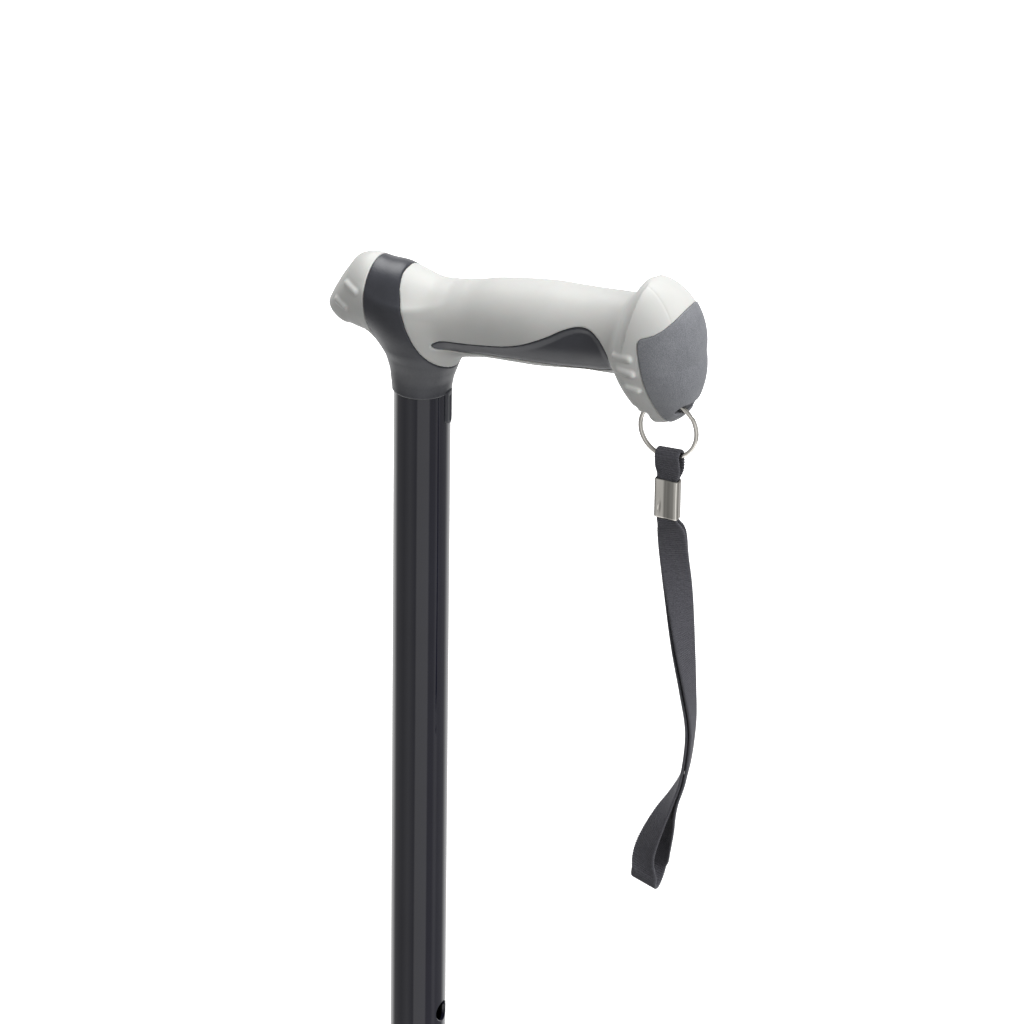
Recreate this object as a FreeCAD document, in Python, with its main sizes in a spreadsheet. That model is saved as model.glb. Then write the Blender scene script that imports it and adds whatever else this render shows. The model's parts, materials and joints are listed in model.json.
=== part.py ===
import FreeCAD, Part
import math
import os

import Sketcher
from FreeCAD import Placement, Rotation, Vector

# Quad walking cane, millimetres. The floor is Z = 0, +X points to the rear end of the handle and
# +Y to the outer side of the base. Pieces are drawn around the axis of the shaft, and each finished
# piece is then shifted so that the origin is the middle of the bounding box on the floor.

os.makedirs("parts", exist_ok=True)
doc = FreeCAD.newDocument("quad_cane")
sheet = doc.addObject("Spreadsheet::Sheet", "sizes")

DRIVING_SIZES = {
    # shaft
    "handle_base": 761.0,
    "tube_outer": 22.2,
    "tube_inner": 19.3,
    "tube_insert": 26.0,
    "upper_tube_end": 226.0,
    "inner_tube_outer": 19.05,
    "inner_tube_inner": 16.45,
    "inner_tube_end": 66.0,
    "inner_tube_top": 433.0,
    "hole_size": 8.5,
    "hole_pitch": 19.05,
    "hole_count": 13.0,
    "first_hole_drop": 277.0,
    "rest_hole": 4.0,
    # snap button and its spring
    "button_size": 8.0,
    "button_proud": 1.9,
    "spring_sheet": 0.8,
    "spring_width": 9.0,
    "spring_length": 42.0,
    # lock collar
    "bush_wall": 1.9,
    "bush_grip": 20.0,
    "bush_cup": 22.0,
    "collar_outer": 34.0,
    "collar_length": 40.0,
    "thread_depth": 0.8,
    "running_gap": 0.15,
    # base
    "leg_tube": 15.9,
    "leg_wall": 1.5,
    "crown_height": 104.0,
    "near_crown": -20.5,
    "near_half": 36.0,
    "near_foot_out": 78.0,
    "near_foot_side": -44.0,
    "far_crown": 27.0,
    "far_half": 42.0,
    "far_foot_out": 92.0,
    "far_foot_side": 104.0,
    "near_ankle": 50.0,
    "far_ankle": 55.0,
    "plate_sheet": 3.0,
    "plate_width": 52.0,
    "plate_near": -32.0,
    "plate_far": 38.0,
    "socket_outer": 23.0,
    "socket_inner": 19.2,
    "socket_end": 62.0,
    "socket_top": 121.0,
    "bolt_height": 82.0,
    "bolt_size": 6.0,
    "weld_leg": 3.5,
    # rubber tips
    "tip_outer": 33.0,
    "tip_neck": 24.4,
    "tip_height": 40.0,
    "tip_floor": 7.2,
    "washer_sheet": 1.2,
    # handle
    "cover": 3.0,
    "core_rod_size": 23.0,
    "core_rod_length": 116.0,
    "tab_width": 4.7,
    "tab_length": 12.0,
    "tab_proud": 0.8,
    "pommel_centre_x": 100.6,
    "pommel_centre_z": 38.0,
    "pommel_half_x": 16.5,
    "pommel_half_y": 20.6,
    "pommel_half_z": 29.7,
    "cap_wall": 2.5,
    # ring and strap
    "ring_outer": 25.0,
    "ring_wire": 1.8,
    "ring_x": 105.9,
    "ring_side": -4.5,
    "ring_z": 7.5,
    "slot_width": 18.0,
    "slot_height": 6.0,
    "slot_floor": 15.1,
    "notch_width": 12.8,
    "strap_width": 10.6,
    "strap_sheet": 1.1,
    "crimp_width": 8.2,
    "crimp_height": 15.6,
    "crimp_depth": 4.0,
    "crimp_drop": 8.9,
    "crimp_sheet": 0.5,
    "crimp_shift": 0.35,
    "joint_gap": 0.05,
}
for row, (alias, value) in enumerate(DRIVING_SIZES.items(), 1):
    sheet.set("A%d" % row, alias)
    sheet.set("B%d" % row, str(value))
    sheet.setAlias("B%d" % row, alias)
doc.recompute()

FRAME_X = "( pommel_centre_x + pommel_half_x - far_foot_out - tip_outer / 2 ) / 2"
FRAME_Y = "( near_foot_side + far_foot_side ) / 2"

nodes = []
spots_of = {}


def number(text):
    """The value of an expression or a plain number."""
    result = sheet.evalExpression(str(text))
    return float(getattr(result, "Value", result))


def words(text):
    """An expression in which every driving size is named through the sheet."""
    pieces = str(text).replace("(", " ( ").replace(")", " ) ").split()
    return " ".join("sizes." + piece if piece in DRIVING_SIZES else piece for piece in pieces)


def bind(item, **sizes):
    for name, text in sizes.items():
        item.setExpression(name.replace("__", "."), words(text))
    return item


def place(item, x=0, y=0, z=0, turn=None):
    """Puts an object at bound coordinates; turn is an axis and an angle in degrees."""
    if turn:
        item.Placement = Placement(Vector(), Rotation(*turn))
    spots_of[item.Name] = (x, y, z)
    return bind(item, Placement__Base__x=x, Placement__Base__y=y, Placement__Base__z=z)


def keep(item, label):
    """Shifts an object into the frame and marks it as a sub-part under its label."""
    x, y, z = spots_of.get(item.Name, (0, 0, 0))
    place(item, "%s - %s" % (x, FRAME_X), "%s - %s" % (y, FRAME_Y), z)
    item.Label = label
    nodes.append(item)
    return item


ALONG_X = (Vector(0, 1, 0), 90)
ALONG_Y = (Vector(1, 0, 0), -90)


def cylinder(name, radius, height, x=0, y=0, z=0, turn=None):
    item = doc.addObject("Part::Cylinder", name)
    bind(item, Radius=radius, Height=height)
    return place(item, x, y, z, turn)


def box(name, length, width, height, x=0, y=0, z=0):
    item = doc.addObject("Part::Box", name)
    bind(item, Length=length, Width=width, Height=height)
    return place(item, x, y, z)


def cut(name, base, tool):
    item = doc.addObject("Part::Cut", name)
    item.Base = base
    item.Tool = tool
    return item


def common(name, base, tool):
    item = doc.addObject("Part::Common", name)
    item.Base = base
    item.Tool = tool
    return item


def fuse(name, *items):
    item = doc.addObject("Part::MultiFuse", name)
    item.Shapes = list(items)
    return item


def ring_of(name, outer, inner, height, x=0, y=0, z=0, turn=None):
    """A plain tube: one cylinder cut out of another."""
    outside = cylinder(name + "_outside", outer, height, x, y, z, turn)
    inside = cylinder(name + "_inside", inner, height, x, y, z, turn)
    return cut(name, outside, inside)


def origin_plane(body, role):
    return next(item for item in body.Origin.OriginFeatures if item.Role == role)


def outline(body, name, plane, corners):
    """A closed sketch of straight edges whose corners are bound to the sheet."""
    sketch = body.newObject("Sketcher::SketchObject", name)
    sketch.AttachmentSupport = (origin_plane(body, plane), [""])
    sketch.MapMode = "FlatFace"
    texts = [(words(across), words(up)) for across, up in corners]
    spots = [Vector(number(across), number(up), 0) for across, up in texts]
    count = len(spots)
    for index, spot in enumerate(spots):
        sketch.addGeometry(Part.LineSegment(spot, spots[(index + 1) % count]), False)
    for index, (across, up) in enumerate(texts):
        sketch.addConstraint(Sketcher.Constraint("Coincident", index, 2, (index + 1) % count, 1))
        for kind, text in (("DistanceX", across), ("DistanceY", up)):
            rule = Sketcher.Constraint(kind, -1, 1, index, 1, number(text))
            sketch.setExpression("Constraints[%d]" % sketch.addConstraint(rule), text)
    return sketch


def turned(name, corners):
    """A body turned about its own Z axis from (radius, height) corners."""
    body = doc.addObject("PartDesign::Body", name)
    sketch = outline(body, name + "_profile", "XZ_Plane", corners)
    doc.recompute()
    turn = body.newObject("PartDesign::Revolution", name + "_turn")
    turn.Profile = sketch
    turn.ReferenceAxis = (sketch, ["V_Axis"])
    turn.Angle = 360
    doc.recompute()
    return body


def side_zone(name, corners, width):
    """A prism drawn in the XZ plane and pushed out equally to both sides."""
    body = doc.addObject("PartDesign::Body", name + "_drawing")
    sketch = outline(body, name + "_outline", "XZ_Plane", corners)
    zone = doc.addObject("Part::Extrusion", name)
    zone.Base = sketch
    zone.DirMode = "Normal"
    zone.Solid = True
    zone.Symmetric = True
    return bind(zone, LengthFwd=width)


# Base: feet, legs, plate and socket ------------------------------------------------------

FEET = {
    "near_front": ("- near_foot_out", "near_foot_side"),
    "near_rear": ("near_foot_out", "near_foot_side"),
    "far_front": ("- far_foot_out", "far_foot_side"),
    "far_rear": ("far_foot_out", "far_foot_side"),
}


def tread(radii, depth):
    """Corners of the concentric grooves under a tip, from the centre outwards."""
    corners = []
    for inner, outer in radii:
        corners += [(inner, 0), (inner, depth), (outer, depth), (outer, 0)]
    return corners


def rubber_tip(name, x, y):
    bore = "leg_tube / 2 + joint_gap"
    corners = [(0, 0)] + tread(((4, 5.5), (8, 9.5), (12, 13.5)), 1.4) + [
        ("tip_outer / 2 - 1", 0),
        ("tip_outer / 2", 1),
        ("tip_outer / 2", 5),
        ("tip_neck / 2 + 1.4", 10),
        ("tip_neck / 2", 14),
        ("tip_neck / 2", "tip_height - 10"),
        ("tip_neck / 2 + 0.7", "tip_height - 9"),
        ("tip_neck / 2 + 0.7", "tip_height - 5"),
        ("tip_neck / 2", "tip_height - 4"),
        ("tip_neck / 2 - 0.8", "tip_height"),
        (bore, "tip_height"),
        (bore, "tip_floor"),
        (0, "tip_floor"),
    ]
    return keep(place(turned(name, corners), x, y), name)


def tip_washers():
    rings = []
    for name, (x, y) in FEET.items():
        rings.append(ring_of("washer_" + name, "leg_tube / 2 - 0.25", 3.2, "washer_sheet", x, y, "tip_floor"))
    return keep(fuse("washers", *rings), "tip_washers")


def rounded_path(corners, radii):
    """A wire through the corners, with each inner corner replaced by a tangent arc."""
    edges = []
    start = corners[0]
    for before, corner, after, radius in zip(corners, corners[1:], corners[2:], radii):
        back = (before - corner).normalize()
        ahead = (after - corner).normalize()
        half_angle = back.getAngle(ahead) / 2
        setback = radius / math.tan(half_angle)
        middle = corner + (back + ahead).normalize() * (radius / math.sin(half_angle) - radius)
        edges.append(Part.makeLine(start, corner + back * setback))
        edges.append(Part.Arc(corner + back * setback, middle, corner + ahead * setback).toShape())
        start = corner + ahead * setback
    edges.append(Part.makeLine(start, corners[-1]))
    return Part.Wire(edges)


def swept_round(path, radius):
    """A round bar swept along a path that starts straight up."""
    start = path.Vertexes[0].Point
    profile = Part.Wire(Part.makeCircle(radius, start, Vector(0, 0, 1)))
    return path.makePipeShell([profile], True, True)


def leg_tube(label, half, out, side, crown, ankle):
    """A tube bent into an inverted U with upright ends."""
    low = number("sizes.tip_floor + sizes.washer_sheet + sizes.joint_gap")
    top = number("sizes.crown_height")
    rear = [Vector(out, side, low), Vector(out, side, ankle), Vector(half, crown, top)]
    corners = rear + [Vector(-spot.x, spot.y, spot.z) for spot in reversed(rear)]
    path = rounded_path(corners, (22, 26, 26, 22))
    outer = number("sizes.leg_tube") / 2
    inner = outer - number("sizes.leg_wall")
    item = doc.addObject("Part::Feature", label)
    item.Shape = swept_round(path, outer).cut(swept_round(path, inner))
    return keep(item, label)


def bridge_plate():
    body = doc.addObject("PartDesign::Body", "plate_body")
    half = "plate_width / 2"
    corners = [
        ("- " + half + " + 8", "plate_near"),
        (half + " - 8", "plate_near"),
        (half, "plate_near + 8"),
        (half, "plate_far - 8"),
        (half + " - 8", "plate_far"),
        ("- " + half + " + 8", "plate_far"),
        ("- " + half, "plate_far - 8"),
        ("- " + half, "plate_near + 8"),
    ]
    sketch = outline(body, "plate_outline", "XY_Plane", corners)
    doc.recompute()
    pad = body.newObject("PartDesign::Pad", "plate_pad")
    pad.Profile = sketch
    bind(pad, Length="plate_sheet")
    doc.recompute()
    upright = [
        "Edge%d" % (index + 1)
        for index, edge in enumerate(pad.Shape.Edges)
        if abs(edge.Vertexes[0].Z - edge.Vertexes[1].Z) > 1
    ]
    rounding = body.newObject("PartDesign::Fillet", "plate_corners")
    rounding.Base = (pad, upright)
    rounding.Radius = 8
    place(body, 0, 0, "crown_height + leg_tube / 2 + joint_gap")
    opening = cylinder("plate_opening", "socket_outer / 2 + joint_gap", 20, 0, 0, "crown_height")
    return keep(cut("plate", body, opening), "bridge_plate")


def socket():
    length = "socket_top - socket_end"
    tube = ring_of("socket_tube", "socket_outer / 2", "socket_inner / 2", length, 0, 0, "socket_end")
    hole = cylinder("socket_hole", "bolt_size / 2 + 0.1", 40, -20, 0, "bolt_height", ALONG_X)
    return keep(cut("socket", tube, hole), "base_socket")


def weld_ring(label, height, direction):
    """A fillet weld between the socket and one face of the plate."""
    near = "socket_outer / 2 + joint_gap"
    corners = [(near, 0), (near + " + weld_leg", 0), (near, direction + " weld_leg")]
    return keep(place(turned(label + "_body", corners), 0, 0, height), label)


def crown_welds():
    """Fillet welds along both sides of each leg crown, under the plate."""
    beads = []
    for name, crown in (("near", "near_crown"), ("far", "far_crown")):
        block = box(name + "_block", 40, 12, 5.8, -20, crown + " - 6", "crown_height + leg_tube / 2 - 5.8")
        crown_tube = cylinder(
            name + "_crown", "leg_tube / 2 + 0.02", 60, -30, crown, "crown_height", ALONG_X
        )
        beads.append(cut(name + "_bead", block, crown_tube))
    return keep(fuse("beads", *beads), "crown_welds")


def hexagon(name, across_flats, height, x, z, bore):
    prism = doc.addObject("Part::Prism", name + "_prism")
    prism.Polygon = 6
    bind(prism, Circumradius="%s / 1.7320508 " % across_flats, Height=height)
    place(prism, x, 0, z, ALONG_X)
    hole = cylinder(name + "_bore", bore, 30, x + " - 10", 0, z, ALONG_X)
    return cut(name, prism, hole)


def socket_fasteners():
    face = "socket_outer / 2 + joint_gap"
    washer = 1.0
    start = "socket_outer / 2 - 30.5"
    shank = cylinder("bolt_shank", "bolt_size / 2 - 0.05", 36.5, start, 0, "bolt_height", ALONG_X)
    head = doc.addObject("Part::Prism", "bolt_head")
    head.Polygon = 6
    bind(head, Circumradius="10 / 1.7320508", Height=4)
    place(head, face + " + %g" % washer, 0, "bolt_height", ALONG_X)
    keep(fuse("bolt", shank, head), "socket_bolt")
    nut = hexagon("nut", 10, 5.5, "- ( %s ) - %g - 5.6" % (face, washer), "bolt_height", "bolt_size / 2")
    keep(nut, "socket_nut")
    rings = [
        ring_of("washer_head", 6, "bolt_size / 2 + 0.15", washer, face, 0, "bolt_height", ALONG_X),
        ring_of("washer_nut", 6, "bolt_size / 2 + 0.15", washer, "- ( %s ) - %g" % (face, washer), 0,
                "bolt_height", ALONG_X),
    ]
    return keep(fuse("bolt_washers", *rings), "socket_washers")


# Shaft: two tubes, snap button, lock collar --------------------------------------------------

BUTTON_HEIGHT = "( handle_base - first_hole_drop - rest_hole * hole_pitch )"


def lower_tube():
    length = "inner_tube_top - inner_tube_end"
    outside, inside = "inner_tube_outer / 2", "inner_tube_inner / 2"
    tube = ring_of("inner_tube", outside, inside, length, 0, 0, "inner_tube_end")
    bolt_hole = cylinder("inner_tube_bolt_hole", "bolt_size / 2 + 0.1", 40, -20, 0, "bolt_height", ALONG_X)
    button_hole = cylinder("inner_tube_button_hole", "hole_size / 2", 20, 0, 0, BUTTON_HEIGHT, ALONG_X)
    holes = fuse("inner_tube_holes", bolt_hole, button_hole)
    return keep(cut("inner_tube_drilled", tube, holes), "lower_tube")


def upper_tube():
    """The outer tube, with its row of adjustment holes as a pattern along its length."""
    body = doc.addObject("PartDesign::Body", "outer_tube")
    sketch = body.newObject("Sketcher::SketchObject", "outer_tube_rings")
    sketch.AttachmentSupport = (origin_plane(body, "XY_Plane"), [""])
    sketch.MapMode = "FlatFace"
    for index, alias in enumerate(("tube_outer", "tube_inner")):
        radius = number("sizes." + alias) / 2
        sketch.addGeometry(Part.Circle(Vector(), Vector(0, 0, 1), radius), False)
        sketch.addConstraint(Sketcher.Constraint("Coincident", index, 3, -1, 1))
        rule = sketch.addConstraint(Sketcher.Constraint("Diameter", index, radius * 2))
        sketch.setExpression("Constraints[%d]" % rule, "sizes." + alias)
    doc.recompute()
    pad = body.newObject("PartDesign::Pad", "outer_tube_pad")
    pad.Profile = sketch
    bind(pad, Length="handle_base + tube_insert - upper_tube_end")
    doc.recompute()
    drill = body.newObject("Sketcher::SketchObject", "outer_tube_hole")
    drill.AttachmentSupport = (origin_plane(body, "YZ_Plane"), [""])
    drill.MapMode = "FlatFace"
    lowest = words("handle_base - first_hole_drop - ( hole_count - 1 ) * hole_pitch - upper_tube_end")
    radius = number("sizes.hole_size") / 2
    drill.addGeometry(Part.Circle(Vector(0, number(lowest), 0), Vector(0, 0, 1), radius))
    drill.addConstraint(Sketcher.Constraint("PointOnObject", 0, 3, -2))
    height = drill.addConstraint(Sketcher.Constraint("DistanceY", -1, 1, 0, 3, number(lowest)))
    drill.setExpression("Constraints[%d]" % height, lowest)
    width = drill.addConstraint(Sketcher.Constraint("Diameter", 0, number("sizes.hole_size")))
    drill.setExpression("Constraints[%d]" % width, "sizes.hole_size")
    doc.recompute()
    pocket = body.newObject("PartDesign::Pocket", "outer_tube_pocket")
    pocket.Profile = drill
    pocket.Reversed = True
    bind(pocket, Length="tube_outer")
    doc.recompute()
    pattern = body.newObject("PartDesign::LinearPattern", "outer_tube_row")
    pattern.Originals = [pocket]
    pattern.Direction = (drill, ["V_Axis"])
    bind(pattern, Length="( hole_count - 1 ) * hole_pitch", Occurrences="hole_count")
    body.Tip = pattern
    place(body, 0, 0, "upper_tube_end")
    return keep(body, "upper_tube")


def snap_button():
    inside = "inner_tube_inner / 2 - 2"
    proud = "tube_outer / 2 + button_proud"
    corners = [
        (0, inside + " - 1.4"),
        ("button_size / 2 + 1.2", inside + " - 1.4"),
        ("button_size / 2 + 1.2", inside),
        ("button_size / 2", inside),
        ("button_size / 2", proud + " - 1.5"),
        ("button_size / 2 - 0.5", proud + " - 0.6"),
        ("button_size / 2 - 1.6", proud + " - 0.1"),
        (0, proud),
    ]
    button = turned("button_body", corners)
    return keep(place(button, 0, 0, BUTTON_HEIGHT, ALONG_X), "snap_button")


def button_spring():
    """A leaf bent into a U: one leg behind the button, the other against the far wall."""
    sheet_metal = "spring_sheet"
    front = "( inner_tube_inner / 2 - 3.4 - joint_gap - spring_sheet )"
    rear = "( - inner_tube_inner / 2 + 1.5 )"
    low = BUTTON_HEIGHT + " - spring_length"
    near_edge, length = "- spring_width / 2", "spring_length + 4"
    leg = box("spring_front", sheet_metal, "spring_width", length, front, near_edge, low)
    back = box("spring_rear", sheet_metal, "spring_width", length, rear, near_edge, low)
    middle = "( %s + %s + spring_sheet ) / 2" % (front, rear)
    radius = "( %s + spring_sheet - %s ) / 2" % (front, rear)
    bend = ring_of("spring_bend", radius, radius + " - spring_sheet", "spring_width", middle,
                   "- spring_width / 2", low, ALONG_Y)
    upper_half = box("spring_trim", 30, 30, 30, -15, -15, low)
    return keep(fuse("spring", leg, back, cut("spring_half_bend", bend, upper_half)), "button_spring")


THREAD_RINGS = 4


def thread_rings(name, radius, tip_radius, first, pitch, width):
    rings = []
    for index in range(THREAD_RINGS):
        height = "%s + %g" % (first, index * pitch)
        corners = [
            (radius, 0),
            (tip_radius, "%g * 0.3" % width),
            (tip_radius, "%g * 0.7" % width),
            (radius, width),
            (radius + " - 1", width),
            (radius + " - 1", 0),
        ]
        rings.append(place(turned("%s_%d" % (name, index), corners), 0, 0, height))
    return rings


def collet_bushing():
    """A cup over the end of the outer tube with slit fingers that grip the inner tube."""
    bore = "inner_tube_outer / 2 + running_gap"
    cup = "tube_outer / 2 + joint_gap"
    outside = cup + " + bush_wall"
    corners = [
        (bore, "- bush_grip"),
        (bore + " + 1.3", "- bush_grip"),
        (outside, "- bush_grip + 9"),
        (outside, "bush_cup"),
        (cup, "bush_cup"),
        (cup, "- joint_gap"),
        (bore, "- joint_gap"),
    ]
    bush = place(turned("bush_body", corners), 0, 0, "upper_tube_end")
    rings = thread_rings("bush_thread", outside, outside + " + thread_depth", "upper_tube_end - 4", 4, 2.4)
    slit = box("bush_slit_x", 60, 1.6, "bush_grip - 4", -30, -0.8, "upper_tube_end - bush_grip")
    cross_slit = box("bush_slit_y", 1.6, 60, "bush_grip - 4", -0.8, -30, "upper_tube_end - bush_grip")
    return keep(cut("bush", fuse("bush_threaded", bush, *rings), fuse("bush_slits", slit, cross_slit)),
                "collet_bushing")


def lock_collar():
    """The hand collar that screws over the bushing; its cone closes the fingers."""
    bore = "tube_outer / 2 + joint_gap + bush_wall + running_gap"
    low = "- bush_grip - 6"
    mouth = "inner_tube_outer / 2 + 0.5"
    outer = "collar_outer / 2"
    corners = [
        (mouth, low),
        (outer + " - 2.5", low),
        (outer + " - 1", low + " + 1.5"),
        (outer, low + " + 6"),
        (outer, "( %s ) + collar_length - 3" % low),
        (outer + " - 1.5", "( %s ) + collar_length" % low),
        (bore, "( %s ) + collar_length" % low),
        (bore, "- bush_grip + 9"),
        ("inner_tube_outer / 2 + 2.2", "- bush_grip - 1"),
        (mouth, "- bush_grip - 1"),
    ]
    body = place(turned("collar_body", corners), 0, 0, "upper_tube_end")
    crest, root = bore + " - 0.05", bore + " + thread_depth"
    grooves = thread_rings("collar_groove", crest, root, "upper_tube_end - 4.2", 4, 2.8)
    flutes = []
    for index in range(12):
        angle = index * 30
        reach = number("sizes.collar_outer") / 2 + 1.6
        flute = cylinder("flute_%d" % index, 2.6, "collar_length - 10",
                         reach * math.cos(math.radians(angle)), reach * math.sin(math.radians(angle)),
                         "upper_tube_end - bush_grip + 1")
        flutes.append(flute)
    return keep(cut("collar_cut", body, fuse("collar_tools", *(grooves + flutes))), "lock_collar")


# Handle --------------------------------------------------------------------------------

# Sections of the horizontal grip, nose first: position along X, centre height, half height.
GRIP_SECTIONS = (
    (-39.3, 28.4, 2.2),
    (-38.4, 28.7, 4.6),
    (-35.5, 29.8, 8.2),
    (-31.0, 32.6, 11.6),
    (-25.0, 35.2, 15.4),
    (-16.0, 35.2, 17.4),
    (-4.0, 33.9, 17.2),
    (12.0, 32.2, 15.4),
    (30.0, 36.3, 15.7),
    (54.0, 39.0, 16.7),
    (76.0, 41.0, 16.0),
    (92.0, 41.5, 16.0),
)
# Sections of the neck, from the tube upwards: height, radius, offset along X.
NECK_SECTIONS = (
    (0.0, 11.7, 0.0),
    (4.0, 11.95, -0.2),
    (10.0, 13.2, -1.0),
    (16.0, 14.5, -2.8),
    (22.0, 15.3, -5.0),
    (34.0, 14.0, -8.0),
)
GRIP_ROUNDNESS = 0.965
CORE_RISE = 3.6


def grip_loft(name):
    sections = []
    for index, (x, mid, half) in enumerate(GRIP_SECTIONS):
        ellipse = doc.addObject("Part::Ellipse", "%s_section_%d" % (name, index))
        ellipse.MajorRadius = half
        ellipse.MinorRadius = half * GRIP_ROUNDNESS
        ellipse.Placement = Placement(Vector(), Rotation(Vector(0, 1, 0), -90))
        bind(ellipse, Placement__Base__x=x, Placement__Base__z="handle_base + %g" % mid)
        sections.append(ellipse)
    loft = doc.addObject("Part::Loft", name)
    loft.Sections = sections
    loft.Solid = True
    return loft


def core_rod():
    """The rigid rod inside the grip, which rises towards the rear, and its thinner stub in the nose."""
    turn = (Vector(0, 1, 0), 90 - CORE_RISE)
    rod = cylinder("core_rod", "core_rod_size / 2", "core_rod_length", -22, 0, "handle_base + 33", turn)
    stub = cylinder("core_stub", "core_rod_size / 2 - 4", 20, -32, 0, "handle_base + 33.5", ALONG_X)
    return fuse("core_rods", rod, stub)


def neck_loft():
    sections = []
    for index, (height, radius, shift) in enumerate(NECK_SECTIONS):
        circle = doc.addObject("Part::Circle", "neck_section_%d" % index)
        circle.Radius = radius
        place(circle, shift, 0, "handle_base + %g" % height)
        sections.append(circle)
    loft = doc.addObject("Part::Loft", "neck_form")
    loft.Sections = sections
    loft.Solid = True
    return loft


def pommel_loft(name, inset):
    """An egg-shaped knob drawn as ellipses across X, closed by a small flat at each end."""
    sections = []
    for angle in range(-80, 81, 20):
        along = math.sin(math.radians(angle)) / math.sin(math.radians(80))
        fullness = math.cos(math.radians(angle))
        ellipse = doc.addObject("Part::Ellipse", "%s_section_%d" % (name, angle + 80))
        ellipse.Placement = Placement(Vector(), Rotation(Vector(0, 1, 0), -90))
        bind(
            ellipse,
            MajorRadius="( pommel_half_z - %s ) * %.6f" % (inset, fullness),
            MinorRadius="( pommel_half_y - %s ) * %.6f" % (inset, fullness),
            Placement__Base__x="pommel_centre_x + ( pommel_half_x - %s ) * %.6f" % (inset, along),
            Placement__Base__z="handle_base + pommel_centre_z",
        )
        sections.append(ellipse)
    loft = doc.addObject("Part::Loft", name)
    loft.Sections = sections
    loft.Solid = True
    return loft


def at_handle(*spots):
    """Side-view corners given from the foot of the collar."""
    return [(x, "handle_base + %g" % z) for x, z in spots]


BAND = at_handle(
    (-18, 70), (-4.5, 70), (-4.5, 46), (-2, 39), (0, 32), (3, 24.5), (6.5, 17), (10, 12.5), (15, 9),
    (30, 9), (30, -20), (-60, -20), (-60, 16), (-18, 16),
)
NOSE = at_handle((-18, 70), (-60, 70), (-60, 16), (-18, 16))
SIDE_WINDOW = at_handle(
    (11, 27), (16, 29.2), (27, 30.9), (40, 33), (49, 35.4), (59, 40), (65, 43.6), (71, 46.1), (77, 47.4),
    (82, 46.6), (85, 43.5), (86.5, 38), (85.5, 32), (75, 28.8), (63, 27.8), (51, 27.6), (38, 26.8),
    (25, 25.4), (14, 24.6),
)
UNDER_WINDOW = ((38, 0), (48, -6), (60, -9), (72, -8), (82, 0), (72, 8), (60, 9), (48, 6))
CAP = at_handle(
    (98.5, 48.5), (102.3, 50.2), (105.5, 52.2), (108.5, 54.8), (111.2, 58.2), (122, 74), (130, 74),
    (130, -6), (109.6, -6),
)


def ring_clearance():
    """The flat slot through the foot of the pommel, and the notch behind it where the ring comes out."""
    slot = box("ring_slot", 60, "slot_width", "slot_height", "ring_x - 30", "- slot_width / 2",
               "handle_base + slot_floor")
    notch = box("ring_notch", 30, "notch_width", 16, "ring_x - 36.5", "ring_side - notch_width / 2",
                "handle_base + slot_floor - 15.5")
    return fuse("ring_room", slot, notch)


def collar_tab():
    """The tongue that hangs from the collar down the rear of the tube."""
    reach = "tube_outer / 2 + joint_gap"
    foot, length = "handle_base - tab_length", "tab_length + 1"
    tongue = ring_of("tab_ring", reach + " + tab_proud", reach, length, 0, 0, foot)
    window = box("tab_window", 20, "tab_width", length, 0, "- tab_width / 2", foot)
    strip = common("tab_strip", tongue, window)
    groove = box("tab_groove", 20, 0.9, "tab_length - 3", reach + " + tab_proud - 0.4", -0.45,
                 "handle_base - tab_length + 1.5")
    return cut("tab", strip, groove)


def handle():
    grip = grip_loft("grip_form")
    form = fuse("handle_form", grip, neck_loft(), pommel_loft("pommel_form", 0))
    cap_zone = side_zone("cap_zone", CAP, 80)
    band = common("band", form, side_zone("band_zone", BAND, 80))
    windows = common("side_windows", form, side_zone("side_window_zone", SIDE_WINDOW, 80))
    rods = core_rod()
    inside = fuse("core_form", rods, pommel_loft("core_pommel", "cover"))
    under_drawing = doc.addObject("PartDesign::Body", "under_drawing")
    under_sketch = outline(under_drawing, "under_outline", "XY_Plane", UNDER_WINDOW)
    under_zone = doc.addObject("Part::Extrusion", "under_zone")
    under_zone.Base = under_sketch
    under_zone.DirMode = "Normal"
    under_zone.Solid = True
    bind(under_zone, LengthFwd="handle_base + 32")
    under = common("under_window", form, under_zone)
    whole_core = cut("core_to_cap", fuse("core_whole", inside, band, windows, under), cap_zone)
    shell = cut("cover_whole", cut("form_without_core", form, whole_core), cap_zone)
    room = ring_clearance()
    keel = box("keel_space", 60, 60, 20, 75, -30, "handle_base + slot_floor - 19.9")
    bore = cylinder("tube_bore", "tube_outer / 2 + joint_gap", "tube_insert + 21", 0, 0, "handle_base - 20")
    room_and_bore = fuse("room_and_bore", bore, room)
    core = cut("core_bored", whole_core, fuse("core_tools", room_and_bore, keel))
    keep(fuse("core_with_tab", core, collar_tab()), "handle_core")
    nose_zone = side_zone("nose_zone", NOSE, 80)
    keep(cut("nose", common("nose_whole", grip, nose_zone), rods), "nose_cover")
    keep(cut("grip", cut("grip_whole", shell, nose_zone), room_and_bore), "grip_cover")
    cap = common("cap_whole", form, cap_zone)
    hollow = cut("cap_hollow", cap, pommel_loft("cap_inside", "cap_wall"))
    keep(cut("cap_slotted", hollow, room), "end_cap")


# Ring and wrist strap -----------------------------------------------------------------------


def split_ring():
    ring = doc.addObject("Part::Torus", "ring")
    bind(ring, Radius1="ring_outer / 2 - ring_wire / 2", Radius2="ring_wire / 2")
    place(ring, "ring_x", "ring_side", "handle_base + ring_z", (Vector(1, 0, 0), 90))
    return keep(ring, "split_ring")


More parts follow.
